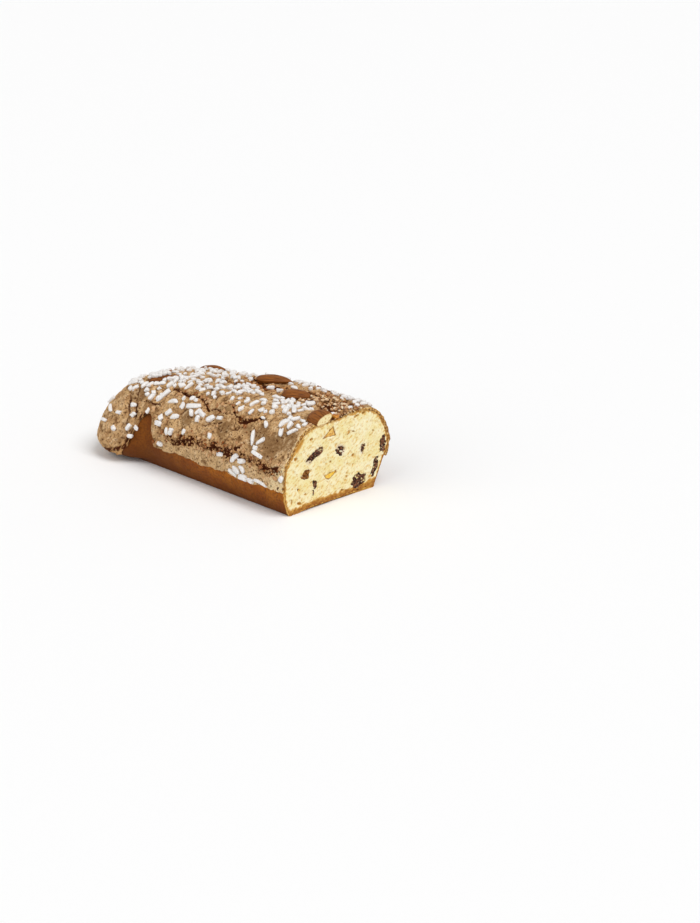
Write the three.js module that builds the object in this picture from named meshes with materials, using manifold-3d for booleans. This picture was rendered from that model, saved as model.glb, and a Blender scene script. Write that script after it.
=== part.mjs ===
// A cut fruit loaf: a long sweet bread baked in a low mould, spilling over its rim, under a crackled
// nut glaze with pearl sugar and whole almonds. One end slice is gone, so the crumb shows with the
// raisins and candied peel that the knife met.
//
// Millimetres, +Z up, standing on z = 0. X runs along the loaf. While the pieces are made, the knife
// cut is the plane x = 0 and the baked, rounded end lies at about x = -221. The last lines move the
// origin to the middle of the footprint.

import * as THREE from "three";
import { mergeVertices } from "three/addons/utils/BufferGeometryUtils.js";
import Module from "manifold-3d";

// ---------------------------------------------------------------- driving dimensions

const CUT_X = 0; // the knife's plane
const END_FAN_X = -145; // the baked end's rounding turns about this line
const LOST_FAN_X = 12; // the same for the end that was sliced off
const CROWN_PEAK_X = -72; // where the loaf rose highest
const CROWN_RISE = 0.06; // how much higher it is there than at the cut, as a share
const CROWN_SPAN = 72; // from the peak to where the crown is back at the cut's height
const RISE_FROM = 15; // the walls below this height don't rise with the crown
const CUT_HEIGHT = 60; // of the bread's middle line at the cut

// Half sections of the bread, from the crown down to the heel: distance out from the middle line, height.
const NEAR_SECTION = {
  crown: [0, CUT_HEIGHT],
  crownEdge: [18, 59.7],
  shoulder: [30, 54.8],
  flank: [39.5, 43.6],
  bulge: [46.3, 33],
  rim: [47.5, 21.5],
  mouldTop: [47.2, 13.5],
  heel: [43.5, 1.6],
};
const FAR_SECTION = {
  crown: [0, CUT_HEIGHT],
  crownEdge: [21.5, 61.8],
  shoulder: [39, 59],
  flank: [49.2, 50],
  bulge: [55.4, 33.5],
  rim: [53.4, 25.5],
  mouldTop: [49, 17],
  heel: [41.5, 1.6],
};
const END_SECTION = {
  crown: [0, CUT_HEIGHT],
  crownEdge: [25, 63],
  shoulder: [51.5, 60.5],
  flank: [65, 48.5],
  bulge: [71.5, 31],
  rim: [69.7, 16],
  mouldTop: [61, 7.5],
  heel: [45, 1.6],
};
const HEEL_ROW = 7; // rows number the section's named points: 0 crown, 4 bulge, 5 rim, 7 heel
const HEEL_INSET = 1.6; // the heel's rounding to the base
const BASE_SQUARENESS = 4.6; // exponent of the plan outline at the base
const TOP_SQUARENESS = 3; // and at the crown

// The dough that ran over the mould at the near corner of the baked end and hangs almost to the floor.
// Places round the loaf are millimetres from the lost end's near corner; before and after are its widths.
const LOBE = { round: 178, before: 10, after: 25, row: 5.75, rowWidth: 1.3, out: 9.5, sag: 3 };

// The far shoulder sinks towards the baked end. The drop grows to its full depth between two places along
// the loaf, two turns (quarter turns of the plan: 0 near side, 1 baked end, 2 far side, 3 lost end) and
// two rows, and fades between the last two rows.
const SLUMP = { depth: 7.3, x: [-25, -205], turn: [0.46, 2.1], rows: [0, 1.8], fade: [2.2, 4.8] };

// The glaze: a dome that overhangs a lower strip along a crack, and an open arch beside the lobe where
// the crust of the wall shows.
const DOME_GLAZE = 2.2;
const OVERHANG_GLAZE = 3.4;
const STRIP_GLAZE = 1.3;
const LIP_GLAZE = 2.3;
const LEDGE_ROW = 3.95;
const EDGE_ROW = 5.3;
// Slow waves of the ledge and of the edge: rows up and down, length round the loaf, phase.
const LEDGE_WAVES = [[0.13, 61, 0.5], [0.1, 23, 2], [0.06, 11, 4]];
const EDGE_WAVES = [[0.1, 47, 1], [0.07, 19, 0]];
const LOBE_EDGE_DROP = 0.98; // rows that the edge hangs lower round the baked end
// Where it hangs low, and past its lowest place only this share of the drop is left.
const LOBE_SPAN = { from: 168, lowest: 179, eased: 210, share: 0.65, fadeFrom: 264, to: 280 };
const ARCH = { at: 163.5, before: 9, after: 8, rows: 1.9, squareness: 3.5 };
const LOBE_CREASE = { at: 178, width: 4, depth: 1.1, fromRow: 2, fullRow: 3 };
// Where the dome overhangs the strip: starts, full, full until, gone.
const OVERHANG_SPANS = [[0, 18, 138, 150], [296, 310, 426, 440]];
const OVERHANG_FROM_ROW = 2.6; // the dome thickens from here to the ledge
const LUMPS = { height: 0.45, along: 29, across: 17, fadeRow: 0.6, rowPitch: 9, drift: 40 };

const TOUCH_GAP = 0.3; // between pieces that touch
const PROUD = 0.5; // how far fruit stands out of the cut
const SLIVER = 0.02; // finer facets than this are merged

// Pearl sugar, in one draw; the sizes fall off so that the largest are laid first.
const SUGAR_COUNT = 118;
const SUGAR_HEIGHT = 4; // half of it sunk
const SUGAR_LENGTH = { largest: 10.5, smallest: 5 };
const SUGAR_VARIES = [0.85, 1.1]; // each length, by this much
const SUGAR_WIDTH = [3.2, 4.2];
const SUGAR_TOP = [0.75, 0.6]; // the upper face's share of the lower one, along and across
const SUGAR_SPACING = { first: 8, last: 5.5 };
const SUGAR_ROWS = 6.2; // laid from the crown to this row
const SUGAR_EDGE_MARGIN = 0.45; // rows kept clear above the glaze's edge
const SUGAR_LEDGE_MARGIN = 0.3; // and on both sides of the ledge
const SUGAR_NUT_MARGIN = 2; // past a nut's point
const SUGAR_CUT_MARGIN = 0.8; // of its own length, before the cut
const SUGAR_FLANK = { from: 1.5, to: 2.4, share: 0.22 }; // thinner below these rows
const SUGAR_STRIP = { from: 4.1, to: 4.3, share: 0.45 }; // and again thicker on the strip
const SUGAR_TRIES = 40; // places drawn for each grain at most
const SUGAR_SEED = 11;

// Whole almonds with their skins: place round the loaf and row, heading in plan from +X towards +Y,
// height of the nut's middle above the bread, pitch (point up) and roll, then length, width, thickness.
const ALMONDS = [
  { round: 346.3, row: 1.01, heading: 27, lift: 3, pitch: 0, roll: -4, size: [28, 15, 7.8] },
  { round: 382.7, row: 0.57, heading: 36, lift: 1.4, pitch: -4, roll: -10, size: [22, 14, 8.5] },
  { round: 15, row: 0.5, heading: -10, lift: 2.6, pitch: 2, roll: 20, size: [27, 17, 7.4] },
  { round: 259.5, row: 1.82, heading: 12, lift: 1.6, pitch: 4, roll: 0, size: [24, 13, 7.5] },
  { round: 192, row: 1.23, heading: 36, lift: 1.2, pitch: 5, roll: -6, size: [19, 12, 7.5] },
  { round: 321, row: 3.1, heading: 18, lift: 2.6, pitch: 0, roll: 6, size: [26, 15, 8] },
  { round: 378, row: 2.9, heading: -28, lift: 2.2, pitch: 5, roll: -5, size: [24, 14, 8] },
  { round: 228, row: 2.9, heading: 96, lift: 2.2, pitch: 4, roll: 8, size: [25, 14, 8] },
];

const ALMOND_STEPS = 7;
const ALMOND_SIDES = 10;
const ALMOND_FULLNESS = 0.55; // under 0.5 would be a fuller nut than an ellipse
const ALMOND_TAPER = 0.2; // blunt end wider, pointed end narrower by this share

// Raisins that the knife met: middle across the loaf and up, width, height, and tilt of the top
// towards the near side.
const RAISINS = [
  { at: [50.4, 30.5], size: [8.2, 12.5], tilt: -8 },
  { at: [42.8, 15.8], size: [6.4, 13.5], tilt: -24 },
  { at: [25, 9.6], size: [13.8, 11.4], tilt: 15 },
  { at: [-18.1, 38.9], size: [5, 16.5], tilt: -66 },
  { at: [6.7, 36.9], size: [8.4, 7], tilt: -30 },
  { at: [30.1, 32.9], size: [4.2, 7], tilt: -6 },
  { at: [-26.8, 27.4], size: [8.4, 7.6], tilt: 24 },
  { at: [-18.5, 17.4], size: [4.4, 7], tilt: -10 },
  { at: [-20.4, 10.6], size: [2.6, 5.6], tilt: -10 },
];
const RAISIN_DEPTH = 0.55; // half its depth into the crumb, as a share of its shorter side
const RAISIN_SUNK = 0.2; // of that half depth, behind the cut
const RAISIN_WRINKLE = 0.1;

// Candied peel, cut in wedges: the corners, across the loaf and up.
const PEELS = [
  [[-9.6, 49.8], [1, 49.4], [-0.4, 56.4]],
  [[13.6, 46.4], [17.4, 47.6], [16.2, 50.8]],
  [[-9, 21.4], [3, 23.4], [3.2, 21.4], [-4.6, 17.4], [-8.2, 19.4]],
  [[-34.8, 16], [-32.2, 16.4], [-33, 18.8]],
  [[35.2, 8.2], [39.4, 9], [37.6, 11.4]],
];
const PEEL_DEPTH = 5;
const PEEL_CORNER = 2.4; // a sharp corner moves out this far for each millimetre that its sides do
const TOP_PEEL = { at: [-3, 4.4, 61.6], size: [7, 5, 4.6] }; // sits in the glaze at the cut's edge

const wasm = await Module();
wasm.setup();

// ---------------------------------------------------------------- small helpers

const mix = (a, b, t) => a + (b - a) * t;
const clamp = (t, low = 0, high = 1) => Math.min(high, Math.max(low, t));
const smooth = (low, high, value) => {
  const t = clamp((value - low) / (high - low));
  return t * t * (3 - 2 * t);
};
const bell = (distance, width) => Math.exp(-((distance / width) ** 2));

// A repeatable draw from 0 to 1.
function makeDraw(seed) {
  let state = seed >>> 0;
  return () => {
    state = (Math.imul(state, 1664525) + 1013904223) >>> 0;
    return state / 4294967296;
  };
}

// A closed three.js geometry as a solid that can be joined and cut.
function solidOf(geometry) {
  const bare = geometry.index ? geometry.toNonIndexed() : geometry.clone();
  for (const name of Object.keys(bare.attributes)) {
    if (name !== "position") bare.deleteAttribute(name);
  }
  const merged = mergeVertices(bare, 1e-4);
  const kept = [];
  const index = merged.index.array;
  for (let i = 0; i < index.length; i += 3) {
    const [a, b, c] = [index[i], index[i + 1], index[i + 2]];
    if (a !== b && b !== c && c !== a) kept.push(a, b, c);
  }
  return new wasm.Manifold(
    new wasm.Mesh({
      numProp: 3,
      vertProperties: new Float32Array(merged.attributes.position.array),
      triVerts: new Uint32Array(kept),
    }),
  );
}

// The solid's largest body, without loose scraps or sealed hollows.
function wholeBody(solid) {
  return solid.decompose().reduce((best, body) => (body.volume() > best.volume() ? body : best));
}

function geometryOf(solid) {
  const { vertProperties, triVerts, numProp, numVert } = solid.getMesh();
  const position = new Float32Array(numVert * 3);
  for (let i = 0; i < numVert; i++) {
    position.set(vertProperties.subarray(i * numProp, i * numProp + 3), i * 3);
  }
  const geometry = new THREE.BufferGeometry();
  geometry.setAttribute("position", new THREE.BufferAttribute(position, 3));
  geometry.setIndex(new THREE.BufferAttribute(triVerts, 1));
  return geometry;
}

// ---------------------------------------------------------------- the loaf's outer form

// A point of a half section; row runs from 0, the crown, to 7, the heel.
function sectionPoint(section, row) {
  const points = Object.values(section);
  const at = clamp(row, 0, points.length - 1);
  const i = Math.min(Math.floor(at), points.length - 2);
  const t = at - i;
  const get = (k) => points[clamp(k, 0, points.length - 1)];
  const [before, from, to, after] = [get(i - 1), get(i), get(i + 1), get(i + 2)];
  return [0, 1].map((k) => {
    const pull = 0.5 * (to[k] - before[k]);
    const push = 0.5 * (after[k] - from[k]);
    const d = from[k] - to[k];
    return from[k] + t * (pull + t * (-3 * d - 2 * pull - push + t * (2 * d + pull + push)));
  });
}

// The way round the loaf, in millimetres: along the near side, round the baked end, back along the far
// side and round the end that was sliced off.
const SIDE_RUN = LOST_FAN_X - END_FAN_X;
const END_RUN = 130; // the two ends are counted as this long
const LOST_RUN = 90;
const ROUND = SIDE_RUN + END_RUN + SIDE_RUN + LOST_RUN;

// The line that the half section stands on there (x), and the way it faces (turn, in quarter turns:
// 0 near side, 1 baked end, 2 far side, 3 lost end).
function stopAt(round) {
  let left = ((round % ROUND) + ROUND) % ROUND;
  if (left < SIDE_RUN) return { x: LOST_FAN_X - left, turn: 0 };
  left -= SIDE_RUN;
  if (left < END_RUN) return { x: END_FAN_X, turn: (2 * left) / END_RUN };
  left -= END_RUN;
  if (left < SIDE_RUN) return { x: END_FAN_X + left, turn: 2 };
  return { x: LOST_FAN_X, turn: 2 + (2 * (left - SIDE_RUN)) / LOST_RUN };
}

function breadPoint(round, row) {
  const { x, turn } = stopAt(round);
  const angle = (turn * Math.PI) / 2;
  const sideways = -Math.cos(angle);
  const lengthways = -Math.sin(angle);
  const endShare = lengthways ** 2;
  const side = sectionPoint(sideways < 0 ? NEAR_SECTION : FAR_SECTION, row);
  const end = sectionPoint(END_SECTION, row);
  const lobeWidth = round < LOBE.round ? LOBE.before : LOBE.after;
  const lobe =
    bell(round - LOBE.round, lobeWidth) *
    bell(row - LOBE.row, LOBE.rowWidth) *
    smooth(0, 0.5, HEEL_ROW - row);
  const out = mix(side[0], end[0], endShare) + LOBE.out * lobe;
  const high = mix(side[1], end[1], endShare) - LOBE.sag * lobe;
  const squareness = mix(TOP_SQUARENESS, BASE_SQUARENESS, smooth(1, 5, row));
  const corner =
    (Math.abs(sideways) ** squareness + Math.abs(lengthways) ** squareness) ** (-1 / squareness);
  const px = x + lengthways * out * corner;
  const crown = 1 + CROWN_RISE * (1 - ((px - CROWN_PEAK_X) / CROWN_SPAN) ** 2);
  const raised = mix(1, crown, smooth(RISE_FROM, CUT_HEIGHT, high));
  const sunkenRows = smooth(...SLUMP.rows, row) * (1 - smooth(...SLUMP.fade, row));
  const sunk = sunkenRows * smooth(...SLUMP.turn, turn) * (1 - smooth(SLUMP.x[1], SLUMP.x[0], px));
  return new THREE.Vector3(px, sideways * out * corner, high * raised - SLUMP.depth * sunk);
}

// The outward normal, with the two directions along the surface.
function breadFrame(round, row) {
  const step = 0.5;
  const rowStep = 0.05;
  const safeRow = Math.max(row, 2 * rowStep);
  const across = breadPoint(round + step, safeRow).sub(breadPoint(round - step, safeRow)).normalize();
  const down = breadPoint(round, safeRow + rowStep).sub(breadPoint(round, safeRow - rowStep)).normalize();
  const out = across.clone().cross(down).normalize();
  return { across, down, out };
}

// The point of the bread's surface there, moved out along its normal. Both sides meet along the crown,
// so it is moved straight up there.
function raisedPoint(round, row, lift) {
  const out = row === 0 ? new THREE.Vector3(0, 0, 1) : breadFrame(round, row).out;
  return breadPoint(round, row).addScaledVector(out, lift);
}

// A closed skin from rings round the loaf: each ring gives the point at one place round, and the last
// one is drawn in to the middle line at the height given.
function skin(rounds, rings, middleHeight) {
  const middle = (round) => new THREE.Vector3(stopAt(round).x, 0, middleHeight);
  const points = [...rings, middle].flatMap((pointAt) => rounds.map(pointAt));
  const n = rounds.length;
  const faces = [];
  for (let r = 0; r < rings.length; r++) {
    for (let i = 0; i < n; i++) {
      const [a, b] = [r * n + i, r * n + ((i + 1) % n)];
      faces.push(a, b, b + n, a, b + n, a + n);
    }
  }
  const geometry = new THREE.BufferGeometry().setFromPoints(points);
  geometry.setIndex(faces);
  return solidOf(geometry);
}

const spaced = (from, to, count) => Array.from({ length: count }, (_, i) => mix(from, to, i / count));

// All the way round from the stops of the near half, the far half mirrored so that the two meet along
// the crown.
const MID_END = SIDE_RUN + END_RUN / 2;
const LOST_STOPS = 4;
const allRound = (nearHalf) => [
  ...nearHalf,
  MID_END,
  ...nearHalf.map((round) => 2 * MID_END - round).reverse(),
  ...spaced(2 * MID_END, ROUND, LOST_STOPS).slice(1),
];

// Everything on the kept side of the knife, or of a plane that stands proud of it.
const KEPT_BLOCK = 400; // longer than the loaf
function keptSide(proud = 0) {
  const box = new THREE.BoxGeometry(KEPT_BLOCK, KEPT_BLOCK, KEPT_BLOCK);
  box.translate(CUT_X + proud - KEPT_BLOCK / 2, 0, 0);
  return solidOf(box);
}

// ---------------------------------------------------------------- the bread

const BREAD_ROUNDS = allRound([...spaced(0, SIDE_RUN, 16), ...spaced(SIDE_RUN, MID_END, 8)]);
const BREAD_RINGS = 12;

function wholeBread(grow) {
  const rings = spaced(0, HEEL_ROW, BREAD_RINGS).map((row) => (round) => raisedPoint(round, row, grow));
  rings.push((round) => raisedPoint(round, HEEL_ROW, grow));
  rings.push((round) => {
    const heel = breadPoint(round, HEEL_ROW);
    const inward = new THREE.Vector3(stopAt(round).x, 0, 0).sub(heel).setZ(0).setLength(HEEL_INSET);
    return heel.add(inward).setZ(-grow);
  });
  return skin(BREAD_ROUNDS, rings, -grow);
}

// ---------------------------------------------------------------- the glaze

const wave = (round, length, phase) => Math.sin((2 * Math.PI * round) / length + phase);
const waves = (list, round) =>
  list.reduce((sum, [rows, length, phase]) => sum + rows * wave(round, length, phase), 0);

const ledgeRow = (round) => LEDGE_ROW + waves(LEDGE_WAVES, round);

// The row where the glaze ends.
function edgeRow(round) {
  const { from, lowest, eased, share, fadeFrom, to } = LOBE_SPAN;
  const lobe = smooth(from, lowest, round) * (1 - smooth(fadeFrom, to, round));
  const drop = LOBE_EDGE_DROP * lobe * mix(1, share, smooth(lowest, eased, round));
  const off = round - ARCH.at;
  const reach = Math.abs(off) / (off < 0 ? ARCH.before : ARCH.after);
  const arch = ARCH.rows * Math.max(0, 1 - reach ** ARCH.squareness);
  return EDGE_ROW + waves(EDGE_WAVES, round) + drop - arch;
}

// How clearly the dome overhangs the strip: along both sides, not round the baked end.
function overhang(round) {
  const shares = OVERHANG_SPANS.map(
    ([starts, full, until, gone]) => smooth(starts, full, round) * (1 - smooth(until, gone, round)),
  );
  return Math.max(...shares);
}

function domeLift(round, row) {
  const towardsLedge = smooth(OVERHANG_FROM_ROW, ledgeRow(round), row) * overhang(round);
  const { height, along, across, fadeRow, rowPitch, drift } = LUMPS;
  const lump = wave(round, along, row) * wave(row * rowPitch, across, round / drift);
  const { at, width, depth, fromRow, fullRow } = LOBE_CREASE;
  const crease = depth * bell(round - at, width) * smooth(fromRow, fullRow, row);
  return mix(DOME_GLAZE, OVERHANG_GLAZE, towardsLedge) + height * smooth(0, fadeRow, row) * lump - crease;
}

const stripLift = (round, share) =>
  mix(mix(DOME_GLAZE, STRIP_GLAZE, overhang(round)), LIP_GLAZE, smooth(0, LIP_SHARE, share));

const ARCH_STOPS = [ARCH.at - 16, ARCH.at + 24]; // closer stops between these
const GLAZE_ROUNDS = allRound([
  ...spaced(0, ARCH_STOPS[0], 20),
  ...spaced(...ARCH_STOPS, 11),
  ...spaced(ARCH_STOPS[1], MID_END, 5),
]);
const DOME_RINGS = 9;
const STRIP_RINGS = 4;
const LEDGE_STEP = 0.14; // rows from the overhang's lower corner to the strip
const LIP_STEP = 0.12; // rows from the lip's outer corner to its lower one
const GLAZE_ROOT = -2.5; // the skin closes this deep in the bread
const GLAZE_CORE_HEIGHT = 14; // and meets in the middle line here
const LEAST_STRIP = 0.4; // rows
const LIP_SHARE = 0.7; // of the strip, where the lip is at its full thickness

function wholeGlaze() {
  const ledge = (round) => Math.min(ledgeRow(round), edgeRow(round) - LEAST_STRIP);
  const rings = [...spaced(0, 1, DOME_RINGS), 1].map((share) => (round) => {
    const row = share * ledge(round);
    return raisedPoint(round, row, domeLift(round, row));
  });
  for (const share of [...spaced(0, 1, STRIP_RINGS), 1]) {
    rings.push((round) => {
      const row = mix(ledge(round) + LEDGE_STEP, edgeRow(round), share);
      return raisedPoint(round, row, stripLift(round, share));
    });
  }
  rings.push((round) => raisedPoint(round, edgeRow(round) + LIP_STEP, LIP_GLAZE / 2));
  rings.push((round) => raisedPoint(round, edgeRow(round) + LIP_STEP, GLAZE_ROOT));
  return skin(GLAZE_ROUNDS, rings, GLAZE_CORE_HEIGHT);
}

// ---------------------------------------------------------------- what lies on and in it

const radians = THREE.MathUtils.degToRad;

// Where an almond lies: its long axis is its heading laid on the surface.
function almondMatrix({ round, row, heading, lift, pitch, roll }) {
  const { out } = breadFrame(round, row);
  const along = new THREE.Vector3(Math.cos(radians(heading)), Math.sin(radians(heading)), 0);
  along.addScaledVector(out, -along.dot(out)).normalize();
  const lying = new THREE.Matrix4().makeBasis(along, out.clone().cross(along), out);
  lying.setPosition(raisedPoint(round, row, lift));
  const turned = new THREE.Euler(radians(roll), -radians(pitch), 0, "YXZ");
  return lying.multiply(new THREE.Matrix4().makeRotationFromEuler(turned));
}

// An almond: blunt at one end and pointed at the other.
function almond(one, grow = 0) {
  const profile = [];
  for (let i = 0; i <= ALMOND_STEPS; i++) {
    const along = -Math.cos((Math.PI * i) / ALMOND_STEPS);
    const radius = (1 - along ** 2) ** ALMOND_FULLNESS * (1 - ALMOND_TAPER * along);
    profile.push(new THREE.Vector2(i % ALMOND_STEPS ? radius : 0, along));
  }
  const geometry = new THREE.LatheGeometry(profile, ALMOND_SIDES);
  geometry.rotateZ(-Math.PI / 2);
  geometry.scale(...one.size.map((length) => length / 2 + grow));
  geometry.applyMatrix4(almondMatrix(one));
  return solidOf(geometry);
}

// A raisin: a wrinkled ball, deeper in the crumb than it stands out of it.
function raisin({ at, size, tilt }, grow = 0) {
  const depth = Math.min(...size) * RAISIN_DEPTH;
  const geometry = new THREE.IcosahedronGeometry(1, 1);
  const position = geometry.getAttribute("position");
  const point = new THREE.Vector3();
  for (let i = 0; i < position.count; i++) {
    point.fromBufferAttribute(position, i);
    const fold = Math.sin(5 * point.y + 3 * point.x + at[0]) * Math.cos(4 * point.z + at[1]);
    position.setXYZ(i, ...point.multiplyScalar(1 + RAISIN_WRINKLE * fold));
  }
  geometry.scale(depth + grow, size[0] / 2 + grow, size[1] / 2 + grow);
  geometry.rotateX(radians(tilt));
  geometry.translate(CUT_X - depth * RAISIN_SUNK, ...at);
  return solidOf(geometry);
}

function peel(corners, grow = 0) {
  const middle = [0, 1].map((k) => corners.reduce((sum, corner) => sum + corner[k], 0) / corners.length);
  const spans = corners.map((corner) => Math.hypot(corner[0] - middle[0], corner[1] - middle[1]));
  const stretch = 1 + (PEEL_CORNER * grow) / Math.min(...spans);
  const outline = corners.map(
    (corner) => new THREE.Vector2(...[0, 1].map((k) => mix(middle[k], corner[k], stretch))),
  );
  const geometry = new THREE.ExtrudeGeometry(new THREE.Shape(outline), {
    depth: PEEL_DEPTH + 2 * grow,
    bevelEnabled: false,
  });
  geometry.rotateX(Math.PI / 2);
  geometry.rotateZ(Math.PI / 2);
  geometry.translate(CUT_X + PROUD + grow - PEEL_DEPTH - 2 * grow, 0, 0);
  return solidOf(geometry);
}

function topPeel(grow = 0) {
  const geometry = new THREE.IcosahedronGeometry(1, 0);
  geometry.scale(...TOP_PEEL.size.map((length) => length / 2 + grow));
  geometry.translate(...TOP_PEEL.at);
  return solidOf(geometry);
}

// How thickly the sugar lies: dense on the crown, thin on the flanks and the lobe, clustered on the
// strip under the overhang.
function sugarDensity(round, row) {
  const sides = mix(1, SUGAR_FLANK.share, smooth(SUGAR_FLANK.from, SUGAR_FLANK.to, row));
  const strip = SUGAR_STRIP.share * overhang(round) * smooth(SUGAR_STRIP.from, SUGAR_STRIP.to, row);
  return Math.max(sides, strip);
}

// One grain: a bar that lies along X, its upper face drawn in.
function grain(length, width) {
  const geometry = new THREE.BoxGeometry(length, width, SUGAR_HEIGHT);
  const position = geometry.getAttribute("position");
  for (let i = 0; i < position.count; i++) {
    if (position.getZ(i) < 0) continue;
    position.setXY(i, position.getX(i) * SUGAR_TOP[0], position.getY(i) * SUGAR_TOP[1]);
  }
  return geometry;
}

// Sugar grains: bars with blunt ends, half sunk in the glaze, clear of the nuts and of the cut.
function sugarGrains() {
  const draw = makeDraw(SUGAR_SEED);
  const placed = [];
  const grains = [];
  const nuts = ALMONDS.map((one) => ({
    at: raisedPoint(one.round, one.row, one.lift),
    reach: one.size[0] / 2 + SUGAR_NUT_MARGIN,
  }));
  const attempts = SUGAR_TRIES * SUGAR_COUNT;
  for (let attempt = 0; grains.length < SUGAR_COUNT && attempt < attempts; attempt++) {
    const share = grains.length / SUGAR_COUNT;
    const round = draw() * ROUND;
    const row = SUGAR_ROWS * draw();
    const keep = draw() < sugarDensity(round, row);
    const heading = draw() * Math.PI;
    const lengthShare = draw();
    if (!keep || row > edgeRow(round) - SUGAR_EDGE_MARGIN) continue;
    if (Math.abs(row - ledgeRow(round)) < SUGAR_LEDGE_MARGIN) continue;
    const lift = row < ledgeRow(round) ? domeLift(round, row) : stripLift(round, LIP_SHARE);
    const at = raisedPoint(round, row, lift);
    const usual = mix(SUGAR_LENGTH.largest, SUGAR_LENGTH.smallest, Math.sqrt(share));
    const length = usual * mix(...SUGAR_VARIES, lengthShare);
    const clear = at.x < CUT_X - SUGAR_CUT_MARGIN * length && at.z > length;
    const spacing = mix(SUGAR_SPACING.first, SUGAR_SPACING.last, share);
    if (!clear || placed.some((other) => other.distanceTo(at) < spacing)) continue;
    if (nuts.some((nut) => nut.at.distanceTo(at) < nut.reach)) continue;
    placed.push(at);
    const { across, down, out } = breadFrame(round, row);
    const geometry = grain(length, mix(...SUGAR_WIDTH, lengthShare));
    geometry.rotateZ(heading);
    geometry.applyMatrix4(new THREE.Matrix4().makeBasis(across, down, out).setPosition(at));
    grains.push(solidOf(geometry));
  }
  return grains;
}

// ---------------------------------------------------------------- the pieces

const inclusions = (grow) => [
  ...RAISINS.map((one) => raisin(one, grow)),
  ...PEELS.map((one) => peel(one, grow)),
];
const toppings = (grow) => [...ALMONDS.map((one) => almond(one, grow)), topPeel(grow)];
const joined = (solids) => wasm.Manifold.union(solids);

const loaf = wholeBread(0)
  .intersect(keptSide())
  .subtract(joined([...inclusions(TOUCH_GAP), ...toppings(TOUCH_GAP)]));
const glaze = joined([wholeGlaze(), ...sugarGrains()])
  .intersect(keptSide())
  .subtract(wholeBread(TOUCH_GAP))
  .subtract(joined(toppings(TOUCH_GAP)));

const group = new THREE.Group();
function add(name, solid, colour, roughness) {
  const material = new THREE.MeshStandardMaterial({ color: colour, roughness, metalness: 0 });
  const mesh = new THREE.Mesh(geometryOf(wholeBody(solid).simplify(SLIVER)), material);
  mesh.name = name;
  group.add(mesh);
}

add("loaf", loaf, 0xd9b36c, 0.9);
add("glaze", glaze, 0xa5825f, 0.8);
ALMONDS.forEach((one, i) => add(`almond_${i + 1}`, almond(one).intersect(keptSide()), 0x8c552d, 0.6));
RAISINS.forEach((one, i) => add(`raisin_${i + 1}`, raisin(one).intersect(keptSide(PROUD)), 0x3c1e14, 0.5));
PEELS.forEach((one, i) => add(`peel_${i + 1}`, peel(one), 0xd78c1e, 0.4));
add(`peel_${PEELS.length + 1}`, topPeel().intersect(keptSide()), 0xd78c1e, 0.4);

// The origin is under the middle of the whole.
const bounds = new THREE.Box3().setFromObject(group);
const middle = bounds.getCenter(new THREE.Vector3());
for (const mesh of group.children) mesh.geometry.translate(-middle.x, -middle.y, 0);

export default group;
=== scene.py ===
"""A cut fruit loaf: baked crust, yellow crumb, crackled nut glaze, pearl sugar, almonds, raisins and peel.

The form is worked out in millimetres in the loaf's own directions: the knife cut is the plane x = 0, the
loaf runs back from it along -X, and z = 0 is what it stands on. A place on its surface is given by round,
the millimetres round the loaf, and row, which runs from 0 on the crown to 7 at the heel.
"""

import math
from itertools import product

import bmesh
import bpy
import numpy as np
from bpy.props import FloatProperty, FloatVectorProperty, IntProperty, PointerProperty
from mathutils import Matrix, Vector


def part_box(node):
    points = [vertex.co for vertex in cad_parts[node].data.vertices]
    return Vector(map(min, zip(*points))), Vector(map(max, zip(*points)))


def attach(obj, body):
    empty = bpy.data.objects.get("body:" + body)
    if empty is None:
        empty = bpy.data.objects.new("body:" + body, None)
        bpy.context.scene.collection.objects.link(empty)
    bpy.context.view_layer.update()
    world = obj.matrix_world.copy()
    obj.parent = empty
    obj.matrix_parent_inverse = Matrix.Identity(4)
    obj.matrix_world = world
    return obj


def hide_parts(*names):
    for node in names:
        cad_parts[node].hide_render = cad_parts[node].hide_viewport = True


bl_info = {
    "name": "Glazed Fruit Loaf",
    "version": (1, 0, 0),
    "blender": (4, 5, 0),
    "location": "3D View > Sidebar > Fruit Loaf",
    "description": "Builds a cut fruit loaf with its nut glaze, pearl sugar, almonds, raisins and peel",
    "category": "Add Mesh",
}

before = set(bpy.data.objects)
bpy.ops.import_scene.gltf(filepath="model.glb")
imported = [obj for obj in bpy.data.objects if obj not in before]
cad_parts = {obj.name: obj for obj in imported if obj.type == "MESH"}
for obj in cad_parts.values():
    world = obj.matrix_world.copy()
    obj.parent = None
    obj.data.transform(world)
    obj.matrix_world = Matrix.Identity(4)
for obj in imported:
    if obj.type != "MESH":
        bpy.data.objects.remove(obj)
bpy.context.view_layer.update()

MM = 1000.0  # millimetres in a metre

# ------------------------------------------------------------------ the loaf's form, in millimetres

END_FAN_X = -145.0  # the baked end's rounding turns about this line
LOST_FAN_X = 12.0  # the same for the end that was sliced off
CROWN_PEAK_X = -72.0
CROWN_RISE = 0.06
CROWN_SPAN = 72.0
CUT_HEIGHT = 60.0
RISE_FROM = 15.0

# Half sections: distance out from the middle line, height. Rows number these points.
NEAR_SECTION = (
    (0, 60), (18, 59.7), (30, 54.8), (39.5, 43.6), (46.3, 33), (47.5, 21.5), (47.2, 13.5), (43.5, 1.6),
)
FAR_SECTION = (
    (0, 60), (21.5, 61.8), (39, 59), (49.2, 50), (55.4, 33.5), (53.4, 25.5), (49, 17), (41.5, 1.6),
)
END_SECTION = ((0, 60), (25, 63), (51.5, 60.5), (65, 48.5), (71.5, 31), (69.7, 16), (61, 7.5), (45, 1.6))
HEEL_ROW = 7.0
HEEL_INSET = 1.6
TOP_SQUARENESS = 3.0
BASE_SQUARENESS = 4.6
LOBE = {"round": 178, "before": 10, "after": 25, "row": 5.75, "row_width": 1.3, "out": 9.5, "sag": 3.0}

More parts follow.
